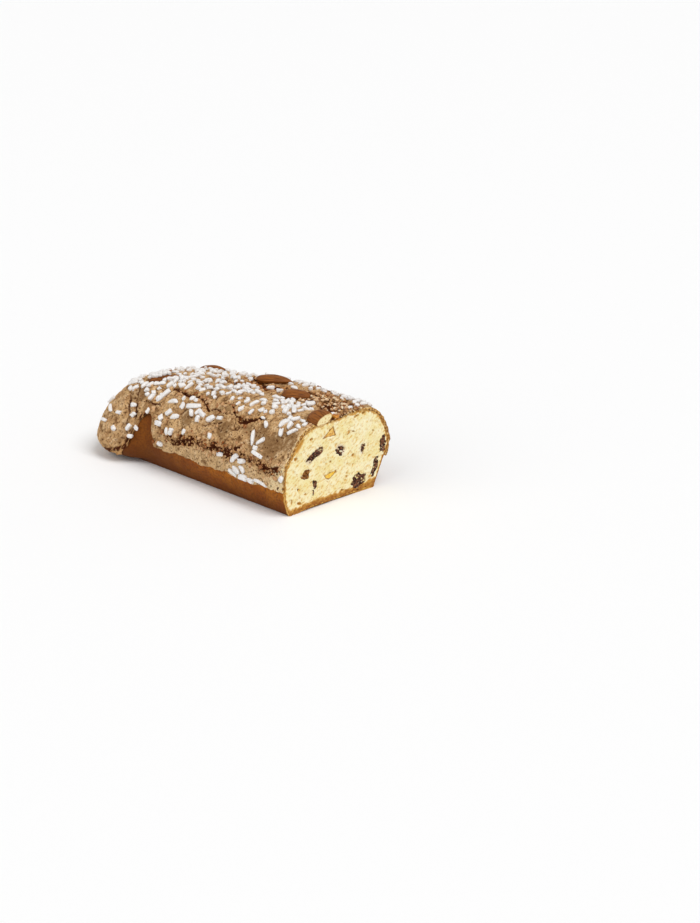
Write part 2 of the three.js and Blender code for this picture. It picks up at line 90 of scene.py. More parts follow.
# The far shoulder sinks towards the baked end: along the loaf, round the end in quarter turns, and down
# the section it comes in from the first value to the second, and it fades again at the last rows.
SLUMP = {"x": (-25, -205), "turn": (0.46, 2.1), "rows": (0, 1.8), "fade": (2.2, 4.8), "depth": 7.3}

SIDE_RUN = LOST_FAN_X - END_FAN_X
END_RUN = 130.0
MID_END = SIDE_RUN + END_RUN / 2
NEAR_CUT = LOST_FAN_X  # the way round starts at the lost end, so the cut is met here
FAR_CUT = 2 * MID_END - LOST_FAN_X

# The glaze, thicknesses and rows as the bread's glaze solid has them.
LEDGE_ROW = 3.95
EDGE_ROW = 5.3
LEDGE_WAVES = ((0.13, 61, 0.5), (0.1, 23, 2), (0.06, 11, 4))
EDGE_WAVES = ((0.1, 47, 1), (0.07, 19, 0))
LOBE_EDGE_DROP = 0.98
LOBE_SPAN = {"from": 168, "lowest": 179, "eased": 210, "share": 0.65, "fade": 264, "to": 280}
ARCH = {"at": 163.5, "before": 9, "after": 8, "rows": 1.9, "squareness": 3.5}
LOBE_CREASE = {"at": 178, "width": 4, "depth": 1.1, "from_row": 2, "full_row": 3}
OVERHANG_SPANS = ((0, 18, 138, 150), (296, 310, 426, 440))
OVERHANG_FROM_ROW = 2.6
LEAST_STRIP = 0.4
# Next to the cut the strip is torn off to golden crumb up to the first distance and whole past the second.
TORN_CORNER = (10, 17)
CROWN_ROUGHER = 0.85
BAKED_END = (150, 168)  # the glaze is rougher and paler past this far from the cut
LEDGE_STEP = 0.1

# Where the dome's lower lip runs on the near side: round, row.
NEAR_LEDGE = (
    (18, 3.8), (24, 4.02), (32, 4.2), (39, 3.92), (47, 3.9), (55, 3.74), (67, 3.9), (75, 4.0),
    (83, 3.82), (91, 4.0), (104, 3.84), (117, 4.08), (131, 4.3), (144, 3.94),
)

# Smooth, darker patches of the near side's skin: round, row, half width.
CALM_PATCHES = (
    (30, 2.9, 16), (22, 2.4, 14), (46, 2.8, 12), (36, 3.5, 9), (83, 3.0, 9), (124, 3.1, 9), (88, 1.9, 6),
    (112, 1.6, 6),
)

# How far the dome's lower lip gapes from the strip below it: round, share.
LEDGE_GAPES = (
    (12, 0.2), (17, 0.4), (22, 1.2), (30, 1.5), (40, 1.1), (48, 1.1), (56, 1.5), (78, 1.5), (88, 1.2),
    (100, 1.3), (144, 1.2),
)

# Cracks and hollows that opened as the loaf rose: width and depth in millimetres, how torn their edges
# are (over 1: and burnt), then round and row along each.
CRACKS = (
    (2.4, 2.2, 0.9, (
        (154.5, 1.7), (146, 1.8), (137, 1.9), (129, 1.93), (121.5, 1.88), (112, 2.15), (106.5, 2.35))),
    (0.9, 1.2, 0.3, ((103.5, 2.3), (98, 2.23), (89.5, 2.3))),
    (1.7, 2.2, 0.6, (
        (99.5, 1.9), (94, 1.73), (87.5, 1.73), (82.5, 1.98), (78.5, 2.18), (71.5, 2.3), (65, 2.4))),
    (3.6, 2.4, 1.0, ((72, 2.3), (65, 2.4), (62, 2.2))),
    (2.2, 2.0, 1.0, ((65, 2.4), (62, 2.2), (57.5, 2.08), (51.5, 1.88))),
    (0.9, 1.2, 0.3, ((102, 3.12), (96.5, 2.88), (91, 2.83), (87, 2.68))),
    (1.1, 1.4, 0.6, ((172.5, 2.68), (166.5, 2.75), (158, 2.7))),
    (2.4, 2.4, 0.9, ((185, 1.53), (180, 1.35), (184.5, 1.05), (195.5, 0.78))),
    (2.2, 2.2, 0.9, ((306.5, 0.18), (317, 0.18), (325.5, 0.15), (333, 0.1))),
    (4.8, 3.2, 1.2, ((325, 0.88), (340, 0.58), (348, 0.45), (356.5, 0.38), (361.5, 0.53), (366, 0.66))),
    (2.4, 2.2, 0.9, ((371, 0.3), (375.5, 0.4), (374.5, 0.62))),
    (5.2, 3.2, 1.1, ((388, 0.86), (391, 1.0), (391, 1.2))),
    (2.0, 2.2, 0.5, ((25, 0.88), (17, 1.07), (11.5, 1.18))),
    (4.6, 2.4, 1.3, ((410, 0.65), (419.5, 0.48), (429, 0.26))),
    (3.0, 2.2, 1.0, ((411, 0.4), (418.5, 0.25), (429, 0.12))),
    (4.8, 2.8, 1.0, ((35, 4.0), (30, 4.1), (24, 4.12), (19.5, 4.0))),
    (3.4, 2.4, 1.0, ((82.5, 4.03), (70, 3.93), (61.5, 3.62))),
    (2.0, 2.0, 0.4, ((186, 2.43), (180.5, 2.98), (176.5, 3.62), (175, 4.05), (172, 5.03))),
    (1.8, 1.8, 0.4, ((184.5, 2.08), (177, 2.88), (172.5, 3.55), (169.5, 4.05))),
    (1.2, 1.4, 0.3, ((208, 3.0), (214, 3.7), (216, 4.5))),
    (2.2, 2.4, 0.9, ((225, 1.6), (238, 2.1), (252, 2.4), (266, 2.2))),
    (2.4, 2.6, 0.9, ((290, 2.0), (306, 2.3), (322, 2.1), (338, 2.3), (352, 2.2))),
    (1.6, 1.8, 0.6, ((345, 3.2), (358, 2.9), (366, 2.4), (378, 2.2), (396, 2.3))),
)

BURNT_OVER = 0.3  # a crack this much over 1 is burnt all along

# The glaze's finer relief, in millimetres.
PLATE_SIZE = 7.0  # the plates of skin that the finest seams part
SEAM_DEPTH = 0.8
GAPE_DEPTH = 2.2  # under the dome's lower lip
CRUMB_HEIGHT = 0.6
PIT_SPACING = 3.0
PIT_DEPTH = 0.9
NUT_MOAT = 1.6  # the glaze shrank from the almonds by so much
THINNEST = 0.12
CRACK_LEVEL = 1.6  # the cracks' widths are measured this far out from the bread

# A patch of broken glaze on the crown, beside the cut.
BROKEN = {"x": (-50, 6), "y": (5, 30), "fade": 7}

# Whole almonds: place, heading in plan from +X to +Y, height of the middle above the bread, degrees that
# the point is raised and the nut turned about its length, then size.
ALMONDS = [
    dict(zip(("round", "row", "heading", "lift", "pitch", "roll", "size"), one))
    for one in (
        (346.3, 1.01, 27, 3, 0, -4, (28, 15, 7.8)),
        (382.7, 0.57, 36, 1.4, -4, -10, (22, 14, 8.5)),
        (15, 0.5, -10, 2.6, 2, 20, (27, 17, 7.4)),
        (259.5, 1.82, 12, 1.6, 4, 0, (24, 13, 7.5)),
        (192, 1.23, 36, 1.2, 5, -6, (19, 12, 7.5)),
        (321, 3.1, 18, 2.6, 0, 6, (26, 15, 8)),
        (378, 2.9, -28, 1.0, 5, -5, (24, 14, 8)),
        (228, 2.9, 96, 2.2, 4, 8, (25, 14, 8)),
    )
]
SLICED_ALMOND = 2  # the knife went through this one
ALMOND_FULLNESS = 0.55
ALMOND_TAPER = 0.2

# Fruit in the cut: middle across the loaf and up, width and height, tilt of the top to the near side,
# and how much of it crumb is smeared over.
RAISINS = [
    dict(zip(("at", "size", "tilt", "smeared"), one))
    for one in (
        ((50.4, 30.5), (8.2, 12.5), -8, 0.1),
        ((42.8, 15.8), (6.4, 13.5), -24, 0.1),
        ((25, 9.6), (13.8, 11.4), 15, 0.3),
        ((-18.1, 38.9), (5, 16.5), -66, 0.35),
        ((6.7, 36.9), (8.4, 7), -30, 0.15),
        ((30.1, 32.9), (4.2, 7), -6, 0.3),
        ((-26.8, 27.4), (8.4, 7.6), 24, 0.1),
        ((-18.5, 17.4), (4.4, 7), -10, 0.45),
        ((-20.4, 10.6), (2.6, 5.6), -10, 0.6),
    )
]
RAISIN_DEPTH = 0.55
RAISIN_SUNK = 0.2
RAISIN_FACE = (1.7, 0.35)  # its folds lie between so far and so far behind the cut
PALE_RAISIN = 6  # a golden one
STAINING_RAISINS = (3, 4, 5)  # their juice has tinged the crumb

# Peel in the cut: the corners of each wedge, across the loaf and up.
PEELS = (
    ((-9.8, 49.6), (3, 49.2), (0.2, 56.8)),
    ((13.6, 46.4), (17.4, 47.6), (16.2, 50.8)),
    ((-9, 21.4), (3, 23.4), (3.2, 21.4), (-4.6, 17.4), (-8.2, 19.4)),
    ((-34.8, 16), (-32.2, 16.4), (-33, 18.8)),
    ((35.2, 8.2), (39.4, 9), (37.6, 11.4)),
)
PEEL_DEPTH = 5.0
PEEL_FACE = 0.4  # so far behind the cut
LEMON_PEEL = 2
TOP_PEEL = {"at": (-3, 4.4, 61.6), "size": (7, 5, 4.6)}
TOUCH_GAP = 0.3  # room left round the nuts and the fruit

# Larger holes in the crumb: middle across the loaf and up, width, height, and tilt of the top to the near
# side.
HOLES = (
    (-35.9, 40.6, 3.8, 2.9, -20), (-21.2, 51.8, 2.9, 2.2, 0), (-33, 6.8, 5.0, 2.3, -25),
    (20, 29.9, 3, 2.3, 0), (-32.3, 48.9, 3.4, 11.5, -42), (31, 59.4, 4.1, 2.0, 0),
    (23.4, 58.6, 5.4, 1.5, 10), (-27.5, 12.5, 1.8, 1.6, 0), (13.5, 15.2, 2.2, 1.6, 0),
    (-2.4, 30.6, 2.0, 1.7, 0), (40.6, 43.5, 1.9, 2.2, 0), (8.9, 5.7, 3.3, 2.2, 0),
    (20.4, 47.9, 3.6, 1.1, -15), (-34.2, 17.4, 1.6, 2.6, 10), (-40.5, 10, 1.4, 4.5, 0),
)

# Single sugar grains that lie apart on the near flank: round, row, turn from the way round, length.
FLANK_SUGAR = (
    (188, 3.55, 150, 9), (182, 3.6, 0, 5), (187, 4.2, 0, 7), (174, 3.55, 70, 4.5), (180, 4.45, 140, 5),
    (173, 4.25, 70, 5.5), (169, 4.25, 150, 4), (171, 4.75, 165, 4), (166, 3.2, 80, 4), (150, 3.4, 140, 4.5),
    (144, 3.0, 50, 5.5), (136, 3.1, 10, 6.5), (150, 3.75, 5, 7), (138, 4.0, 120, 5), (133, 3.95, 75, 5),
    (120, 3.75, 90, 4), (134, 2.5, 80, 5.5), (122, 2.4, 15, 12), (122, 2.1, 5, 5), (121, 2.7, 120, 6),
    (115, 2.55, 60, 6), (110, 2.6, 160, 7), (112, 2.9, 100, 5), (99, 2.7, 45, 7.5), (91, 2.55, 5, 5.5),
    (92, 3.5, 115, 4), (146, 4.9, 0, 5.5), (145, 2.4, 10, 8.5), (170, 2.4, 90, 7), (159, 2.2, 60, 12),
    (178, 3.0, 30, 4.5), (52, 2.85, 115, 12), (43, 2.9, 45, 7), (45, 3.3, 0, 4), (40, 3.6, 170, 10),
    (64, 4.15, 45, 7.5), (56, 4.2, 10, 7), (80, 4.25, 10, 7.5), (54, 4.6, 140, 7), (60, 4.75, 160, 7),
    (63, 5.05, 165, 8), (52, 5.1, 0, 7.5), (44, 5.15, 175, 5), (34, 5.0, 170, 12), (29, 2.2, 115, 6.5),
    (21, 1.95, 50, 8), (32, 1.65, 60, 8), (46, 2.1, 140, 5.5), (53, 1.85, 5, 4), (41, 0.6, 140, 13),
    (425.5, 0.93, 60, 6), (14, 4.35, 60, 3.8), (201, 2.1, 30, 8), (197, 2.15, 80, 6.5), (206, 1.95, 140, 6),
    (193.5, 2.05, 60, 6), (186.5, 2.2, 100, 5.5), (184, 1.88, 120, 6.5), (180.5, 1.8, 70, 5),
    (190, 2.3, 150, 5), (198.5, 1.95, 160, 5.5), (203.5, 2.3, 100, 5), (195, 3.3, 70, 8),
    (202, 2.15, 110, 5.5),
)


def colour(hexadecimal):
    """An sRGB hex colour as the linear colour, with alpha, that Blender works in."""
    shares = [int(hexadecimal[k : k + 2], 16) / 255 for k in (0, 2, 4)]
    return (*(s / 12.92 if s <= 0.04045 else ((s + 0.055) / 1.055) ** 2.4 for s in shares), 1.0)


def mix(a, b, t):
    return a + (b - a) * t


def smooth(low, high, value):
    t = np.clip((value - low) / (high - low), 0, 1)
    return t * t * (3 - 2 * t)


def bell(distance, width):
    return np.exp(-((distance / width) ** 2))


def unit(vectors):
    return vectors / np.maximum(np.linalg.norm(vectors, axis=-1, keepdims=True), 1e-12)


# ------------------------------------------------------------------ noise, the same in every run

STIR = (374761393, 668265263, 2246822519, 3266489917)  # large odd factors that mix up a cell's bits


def lattice(cells, seed):
    """A repeatable number from 0 to 1 for each whole-number cell."""
    a, b, c, d = (np.uint32(factor) for factor in STIR)
    x, y, z = (cells[..., k].astype(np.int64).astype(np.uint32) for k in range(3))
    mixed = x * a + y * b + z * c
    mixed = mixed + np.uint32((seed * STIR[3]) & 0xFFFFFFFF)
    mixed = (mixed ^ (mixed >> np.uint32(15))) * c
    mixed = (mixed ^ (mixed >> np.uint32(13))) * d
    return ((mixed ^ (mixed >> np.uint32(16))) & np.uint32(0xFFFFFF)) / float(0xFFFFFF)


def noise(points, size, seed=0):
    """Smooth noise from -1 to 1 with lumps about this many millimetres wide."""
    scaled = points / size
    base = np.floor(scaled)
    t = scaled - base
    t = t * t * (3 - 2 * t)
    total = 0.0
    for corner in product((0, 1), repeat=3):
        weight = np.prod(np.where(np.array(corner) == 1, t, 1 - t), axis=-1)
        total = total + weight * lattice(base + corner, seed)
    return 2 * total - 1


def nearest_speck(points, spacing, seed=0):
    """Distances to the nearest and next of specks strewn one to a cell, and the speck's own number."""
    base = np.floor(points / spacing)
    first = np.full(points.shape[:-1], np.inf)
    second = first.copy()
    own = np.zeros_like(first)
    for step in product((-1, 0, 1), repeat=3):
        cell = base + step
        speck = cell + np.stack([lattice(cell, seed + k) for k in (1, 2, 3)], axis=-1)
        distance = np.linalg.norm(points - speck * spacing, axis=-1)
        nearer = distance < first
        second = np.where(nearer, first, np.minimum(second, distance))
        own = np.where(nearer, lattice(cell, seed + 4), own)
        first = np.where(nearer, distance, first)
    return first, second, own


# ------------------------------------------------------------------ the bread's surface


def section_point(section, row):
    """Distance out and height on a half section, on a curve through its named points."""
    points = np.array(section, float)
    at = np.clip(row, 0, len(points) - 1)
    i = np.minimum(np.floor(at).astype(int), len(points) - 2)
    t = (at - i)[..., None]
    before, here, there, after = (points[np.clip(i + k, 0, len(points) - 1)] for k in (-1, 0, 1, 2))
    pull, push, gap = 0.5 * (there - before), 0.5 * (after - here), here - there
    return here + t * (pull + t * (-3 * gap - 2 * pull - push + t * (2 * gap + pull + push)))


def stop_at(round_):
    """The line that the half section stands on there (x), and the way it faces in quarter turns."""
    along_end = round_ - SIDE_RUN
    along_far = along_end - END_RUN
    past_side = np.where(along_far < 0, END_FAN_X, END_FAN_X + along_far)
    x = np.where(along_end < 0, LOST_FAN_X - round_, past_side)
    return x, np.clip(2 * along_end / END_RUN, 0, 2)


def bread_point(round_, row):
    round_, row = np.broadcast_arrays(np.asarray(round_, float), np.asarray(row, float))
    x, turn = stop_at(round_)
    sideways = -np.cos(turn * math.pi / 2)
    lengthways = -np.sin(turn * math.pi / 2)
    sides = (section_point(NEAR_SECTION, row), section_point(FAR_SECTION, row))
    side = np.where((sideways < 0)[..., None], *sides)
    section = mix(side, section_point(END_SECTION, row), (lengthways**2)[..., None])
    lobe_width = np.where(round_ < LOBE["round"], LOBE["before"], LOBE["after"])
    lobe = bell(round_ - LOBE["round"], lobe_width) * bell(row - LOBE["row"], LOBE["row_width"])
    lobe = lobe * smooth(0, 0.5, HEEL_ROW - row)
    out = section[..., 0] + LOBE["out"] * lobe
    high = section[..., 1] - LOBE["sag"] * lobe
    squareness = mix(TOP_SQUARENESS, BASE_SQUARENESS, smooth(1, 5, row))
    corner = (np.abs(sideways) ** squareness + np.abs(lengthways) ** squareness) ** (-1 / squareness)
    px = x + lengthways * out * corner
    crown = 1 + CROWN_RISE * (1 - ((px - CROWN_PEAK_X) / CROWN_SPAN) ** 2)
    raised = high * mix(1, crown, smooth(RISE_FROM, CUT_HEIGHT, high))
    sunk = smooth(*SLUMP["rows"], row) * (1 - smooth(*SLUMP["fade"], row)) * smooth(*SLUMP["turn"], turn)
    raised = raised - SLUMP["depth"] * sunk * (1 - smooth(SLUMP["x"][1], SLUMP["x"][0], px))
    return np.stack([px, sideways * out * corner, raised], axis=-1)


def bread_frame(round_, row):
    """Directions on the surface: the way round, down the section, and out."""
    step, row_step = 0.5, 0.05
    safe_row = np.clip(row, 2 * row_step, HEEL_ROW - row_step)
    across = unit(bread_point(round_ + step, safe_row) - bread_point(round_ - step, safe_row))
    down = unit(bread_point(round_, safe_row + row_step) - bread_point(round_, safe_row - row_step))
    out = unit(np.cross(across, down))
    upright = (1 - smooth(0, 0.7, np.asarray(row, float)))[..., None]
    return across, down, unit(mix(out, np.array([0.0, 0.0, 1.0]), upright))


def even_rows(shares, last_row):
    """Rows that lie evenly down the section: share 0 is the crown and share 1 the last row."""
    rows = np.linspace(0, HEEL_ROW, 141)
    run = 0.0
    for section in (NEAR_SECTION, FAR_SECTION):
        steps = np.linalg.norm(np.diff(section_point(section, rows), axis=0), axis=-1)
        run = run + np.concatenate([[0], np.cumsum(steps)])
    return np.interp(shares * np.interp(last_row, rows, run), run, rows)


# ------------------------------------------------------------------ the glaze over it


def wave(round_, length, phase):
    return np.sin(2 * math.pi * round_ / length + phase)


def ledge_row(round_):
    drifting = LEDGE_ROW + sum(rows * wave(round_, length, phase) for rows, length, phase in LEDGE_WAVES)
    near = np.interp(round_, *zip(*NEAR_LEDGE))
    return mix(near, drifting, smooth(NEAR_LEDGE[-1][0], NEAR_LEDGE[-1][0] + 12, round_))


def edge_row(round_):
    lobe = smooth(LOBE_SPAN["from"], LOBE_SPAN["lowest"], round_)
    lobe = lobe * (1 - smooth(LOBE_SPAN["fade"], LOBE_SPAN["to"], round_))
    eased = smooth(LOBE_SPAN["lowest"], LOBE_SPAN["eased"], round_)
    drop = LOBE_EDGE_DROP * lobe * mix(1, LOBE_SPAN["share"], eased)
    off = round_ - ARCH["at"]
    reach = np.abs(off) / np.where(off < 0, ARCH["before"], ARCH["after"])
    arch = ARCH["rows"] * np.maximum(0, 1 - reach ** ARCH["squareness"])
    ripple = sum(rows * wave(round_, length, phase) for rows, length, phase in EDGE_WAVES)
    ragged = 0.035 * wave(round_, 8.3, 1) + 0.02 * wave(round_, 3.7, 4)
    return EDGE_ROW + ripple + ragged + drop - arch


def overhang(round_):
    """How clearly the dome overhangs the strip: along both sides, not round the baked end."""
    shares = [smooth(a, b, round_) * (1 - smooth(c, d, round_)) for a, b, c, d in OVERHANG_SPANS]
    return np.maximum(*shares)


def crack_lines():
    """Each crack as points on the glaze's middle height, ragged to both sides."""
    lines = []
    for index, (width, depth, torn, stops) in enumerate(CRACKS):
        stops = np.array(stops, float)
        shares = np.linspace(0, len(stops) - 1, 10 * len(stops))
        rounds, rows = (np.interp(shares, np.arange(len(stops)), stops[:, k]) for k in (0, 1))
        at = bread_point(rounds, rows)
        rows = rows + 0.06 * noise(at, 3.0, 40 + index)
        rows = np.maximum(rows + 0.04 * noise(at, 1.4, 60 + index), 0.02)
        out = bread_frame(rounds, rows)[2]
        lines.append((width, depth, torn, bread_point(rounds, rows) + CRACK_LEVEL * out))
    return lines


def distance_to_line(points, line):
    best = np.full(len(points), np.inf)
    for start, end in zip(line[:-1], line[1:]):
        way = end - start
        t = np.clip((points - start) @ way / (way @ way), 0, 1)
        best = np.minimum(best, np.linalg.norm(points - start - t[:, None] * way, axis=-1))
    return best


def almond_matrix(one):
    """From the almond's own directions (along, across, through) to the loaf's, as rotation and middle."""
    out = bread_frame(one["round"], one["row"])[2]
    if one["row"] > 0:
        across, down, _ = bread_frame(one["round"], one["row"])
        out = unit(np.cross(across, down))
    heading = math.radians(one["heading"])
    along = np.array([math.cos(heading), math.sin(heading), 0.0])
    along = unit(along - (along @ out) * out)
    lying = np.stack([along, np.cross(out, along), out], axis=1)
    pitched = Matrix.Rotation(-math.radians(one["pitch"]), 3, "Y")
    turned = pitched @ Matrix.Rotation(math.radians(one["roll"]), 3, "X")
    middle = bread_point(one["round"], one["row"]) + one["lift"] * out
    return lying @ np.array(turned), middle


def almond_radius(along):
    """Half width, as a share of the widest, from the blunt end at -1 to the point at 1."""
    return (1 - np.clip(along, -1, 1) ** 2) ** ALMOND_FULLNESS * (1 - ALMOND_TAPER * along)


def under_almonds(points, out, lift):
    """The glaze's height where nuts press into it, and how near a nut's outline each place is (1 at it)."""
    ring = np.zeros(len(points))
    for one in ALMONDS:
        turned, middle = almond_matrix(one)
        half = np.array(one["size"]) / 2 + TOUCH_GAP
        local = (points + lift[:, None] * out - middle) @ turned
        local_out = out @ turned
        near = np.abs(local[:, 2]) < 3 * half[2]
        radius = almond_radius(local[:, 0] / half[0])
        off = np.abs(local[:, 1] / half[1])
        inside = near & (off < radius)
        bottom = -half[2] * np.sqrt(np.clip(radius**2 - off**2, 0, None))
        fall = (bottom - local[:, 2]) / np.maximum(local_out[:, 2], 0.3)
        lift = np.where(inside, np.minimum(lift, lift + fall), lift)
        past_end = np.maximum(np.abs(local[:, 0]) - half[0], 0)
        away = np.hypot(past_end, np.maximum(off - radius, 0) * half[1])
        ring = np.maximum(ring, np.where(near, bell(away, 1.7), 0))
    return lift, ring


def broken_patch(points):
    """1 where the glaze beside the cut is broken to crumbs, 0 off it."""
    (x0, x1), (y0, y1), fade = BROKEN["x"], BROKEN["y"], BROKEN["fade"]
    ragged = 4 * noise(points, 9, 31)
    x, y = points[..., 0] + ragged, points[..., 1] - ragged
    across = smooth(y0 - fade / 2, y0 + fade / 2, y) * (1 - smooth(y1 - fade, y1 + fade, y))
    return smooth(x0 - fade, x0 + fade, x) * (1 - smooth(x1, x1 + fade, x)) * across


def distances(patches, points):
    """The half width of each patch, and how far each place is from its middle."""
    for at_round, at_row, half in patches:
        yield half, np.linalg.norm(points - bread_point(at_round, at_row), axis=-1)


def crackle(base, spacing, seed):
    """1 along the thin seams between the plates of the glaze's dried skin, 0 on them."""
    warp = np.stack([noise(base, 3.4, seed + k) for k in range(3)], axis=-1)
    first, second, _ = nearest_speck(base + 1.3 * warp, spacing, seed + 5)
    return 1 - smooth(0.15, 0.85, second - first)


def glaze_surface(round_, row):
    """Points of the glaze's outer surface and what the finish needs there, for flat arrays of places."""
    base = bread_point(round_, row)
    out = bread_frame(round_, row)[2]
    sizes = bpy.context.scene.loaf_glaze
    ledge = np.minimum(ledge_row(round_), edge_row(round_) - LEAST_STRIP)
    hanging = overhang(round_)
    below = row - ledge - 0.08 * noise(base, 5, 8) - 0.05 * noise(base, 1.9, 5)
    past_ledge = smooth(0, LEDGE_STEP, below)
    share = np.clip((row - ledge) / np.maximum(edge_row(round_) - ledge, 0.1), 0, 1)

    dome = mix(sizes.dome * MM, sizes.overhang * MM, smooth(OVERHANG_FROM_ROW, ledge, row) * hanging)
    strip = mix(mix(sizes.dome * MM, sizes.strip * MM, hanging), sizes.lip * MM, smooth(0, 0.7, share))
    lift = mix(dome, strip, past_ledge)

    drifting = noise(base, 17, 3) - CROWN_ROUGHER * smooth(1.9, 0.9, row)
    for half, away in distances(CALM_PATCHES, base):
        drifting = np.maximum(drifting, 1.25 - away / half)
    drifting = drifting - 0.35 * (round_ < SIDE_RUN) - 0.35 * smooth(*BAKED_END, -base[:, 0])
    calm = smooth(-0.05, 0.45, drifting + 0.35 * noise(base, 6, 4))
    rough = mix(1.0, 0.6, calm)
    lift = lift + 0.5 * noise(base, 15, 1) + 0.34 * noise(base, 6.5, 2)
    relief = 0.6 * noise(base, 2.9, 6) + 0.45 * noise(base, 1.35, 7)
    lift = lift + 0.55 * rough * relief
    crease = LOBE_CREASE
    folded = bell(round_ - crease["at"], crease["width"])
    folded = folded * smooth(crease["from_row"], crease["full_row"], row)
    lift = lift - crease["depth"] * folded

    seams = crackle(base, PLATE_SIZE, 210) * smooth(0.1, 0.5, noise(base, 12, 220)) * mix(1, 0.4, calm)
    seams = seams * (1 - 0.6 * past_ledge * hanging)
    lift = lift - SEAM_DEPTH * seams
    # open_share gathers the glaze's painted shade: seams, cracks, the gap under its lip and torn gaps
    open_share = 0.6 * seams
    torn = 0.3 * seams
    middle_height = base + CRACK_LEVEL * out
    fray = 0.5 * noise(base, 1.7, 91)
    cells = nearest_speck(base + 0.5 * noise(base, 1.5, 92)[:, None], 2.3, 93)[0]
    clustered = 0.45 + 0.55 * (1 - smooth(0.5, 1.15, cells))
    burnt = np.zeros(len(base))
    for index, (width, depth, tearing, line) in enumerate(crack_lines()):
        distance = distance_to_line(middle_height, line) + fray
        gape = np.clip(0.85 + 0.6 * noise(base, 5, 80 + index) + 0.25 * noise(base, 1.8, 90), 0.25, 1.3)
        half = 0.6 * width * gape
        opened = (1 - smooth(0.4 * half, half + 0.4, distance)) * mix(1, clustered, min(tearing, 1))
        core = (1 - smooth(0.3 * gape, 0.4 + 0.5 * gape, distance)) * min(0.35 + tearing, 1)
        lift = lift - depth * gape * np.maximum(opened, 0.8 * core)
        shaded = np.maximum(opened * np.clip((0.4 + 0.8 * tearing) * gape, 0, 1), core)
        open_share = np.maximum(open_share, shaded)
        torn = np.maximum(torn, tearing * bell(distance, 0.9 + 0.8 * width))
        burnt = np.maximum(burnt, max(tearing - 1, 0) / BURNT_OVER * bell(distance, 0.3 + 0.6 * width))

    elsewhere = np.clip(0.6 + 0.9 * noise(base, 7, 11), 0.1, 1.2)
    near = np.interp(round_, *zip(*LEDGE_GAPES))
    on_near = near * (0.8 + 0.5 * noise(base, 5, 13))
    gaping = np.where(round_ < NEAR_LEDGE[-1][0], on_near, elsewhere) * hanging
    undercut = np.clip(bell(below - 0.13, 0.2) * gaping * smooth(0.45, 0.9, clustered), 0, 1)
    lift = lift - GAPE_DEPTH * undercut
    # the gap under the lip is cut in and painted dark as shade
    open_share = np.maximum(open_share, undercut)
    torn = np.maximum(torn, bell(below - 0.12, 0.36) * gaping)

    from_edge = edge_row(round_) - row
    ragged_lobe = bell(round_ - LOBE["round"], 17)
    ragged_lobe = ragged_lobe * smooth(1.05, 0.35, from_edge + 0.4 * noise(base, 4, 23))
    torn = np.maximum(torn, ragged_lobe)
    lift = lift + 0.7 * ragged_lobe * noise(base, 2.2, 24)
    open_share = np.maximum(open_share, ragged_lobe * smooth(0.2, 0.5, noise(base, 2.6, 25)))

    from_cut = -base[:, 0]
    corner = smooth(-0.25, 0.05, row - ledge) * (round_ < NEAR_LEDGE[-1][0]) * (
        1 - smooth(*TORN_CORNER, from_cut + 3.5 * noise(base, 5, 15)))
    edging = 1 - smooth(0.3, 1.9, from_cut + 1.2 * noise(base, 2.4, 16))
    golden = np.clip(np.maximum(corner, 0.8 * edging), 0, 1)
    lift = lift - 0.7 * corner + (0.5 * golden + 0.4 * corner) * noise(base, 1.9, 17)
    # holes in the torn corner are only painted dark as shade, with no hollow in the form
    holed = 0.6 * corner * smooth(0.3, 0.6, noise(base, 2.6, 19))
    open_share = np.maximum(open_share * (1 - 0.5 * corner), holed)

    broken = broken_patch(base)
    chunk, next_chunk, own = nearest_speck(base + 0.5 * noise(base, 1.5, 21)[:, None], 2.7, 20)
    seam = smooth(0.0, 1.0, next_chunk - chunk)
    lift = lift + broken * (mix(-1.6, 1.5, own) * seam - 1.2 * (1 - seam))
    # gaps between the broken chunks painted dark as shade
    open_share = np.maximum(open_share, broken * np.clip(1.15 - seam - 0.5 * own, 0, 1))
    torn = np.maximum(torn, broken)
    crumbs = 1 - 2 * np.clip(nearest_speck(base, 1.7, 26)[0] / 1.1, 0, 1)
    lift = lift + CRUMB_HEIGHT * np.clip(torn, 0, 1) * (1 - open_share) * crumbs
    gaps = smooth(0.0, -0.75, crumbs + 0.5 * noise(base, 2.4, 27) + 0.5 * noise(base, 6, 28))
    gaps = gaps * smooth(0.4, 0.9, torn) * (1 - 0.65 * broken) * smooth(0.05, 0.3, from_edge)
    # gaps between the crumbs painted dark as shade
    open_share = np.maximum(open_share, 0.9 * gaps)

    pit, _, own = nearest_speck(base, PIT_SPACING, 14)
    pitting = 0.4 + 0.5 * noise(base, 8, 18) + 0.3 * calm
    pitted = (own < pitting) * (1 - smooth(0.3 + 0.4 * own, 0.65 + 0.5 * own, pit))
    lift = lift - PIT_DEPTH * pitted

    pressed, ring = under_almonds(base, out, lift)
    # a ring round each nut is pressed down and painted dark as shade
    moat = ring * np.clip(0.75 + noise(base, 5, 33), 0, 1) * (pressed == lift)
    lift = np.maximum(pressed - NUT_MOAT * moat, THINNEST)
    open_share = np.clip(np.maximum(open_share, moat), 0, 1)
    torn = np.clip(torn, 0, 1)
    finish = {
        # painted shade in cracks, hollows and gaps
        "opened": open_share,
        "torn": torn,
        "calm": calm * (1 - torn),
        # painted shade in the pits
        "pitted": pitted,
        "strip": past_ledge * hanging,
        "golden": golden,
        "burnt": np.clip(burnt, 0, 1),
        # the height that the glaze's colour paints lighter as highlight and darker as shade
        "relief": np.clip(0.5 + 0.5 * relief * rough, 0, 1),
    }
    return base + lift[:, None] * out, finish, lift


# ------------------------------------------------------------------ mesh making


def grid_faces(first, rows, columns, closed=False):
    """Quads between neighbouring points of a grid whose points are numbered row by row from first."""
    width = columns if closed else columns - 1
    r, c = np.meshgrid(np.arange(rows - 1), np.arange(width), indexing="ij")
    a = first + r * columns + c
    b = first + r * columns + (c + 1) % columns
    return np.stack([a, b, b + columns, a + columns], axis=-1).reshape(-1, 4)


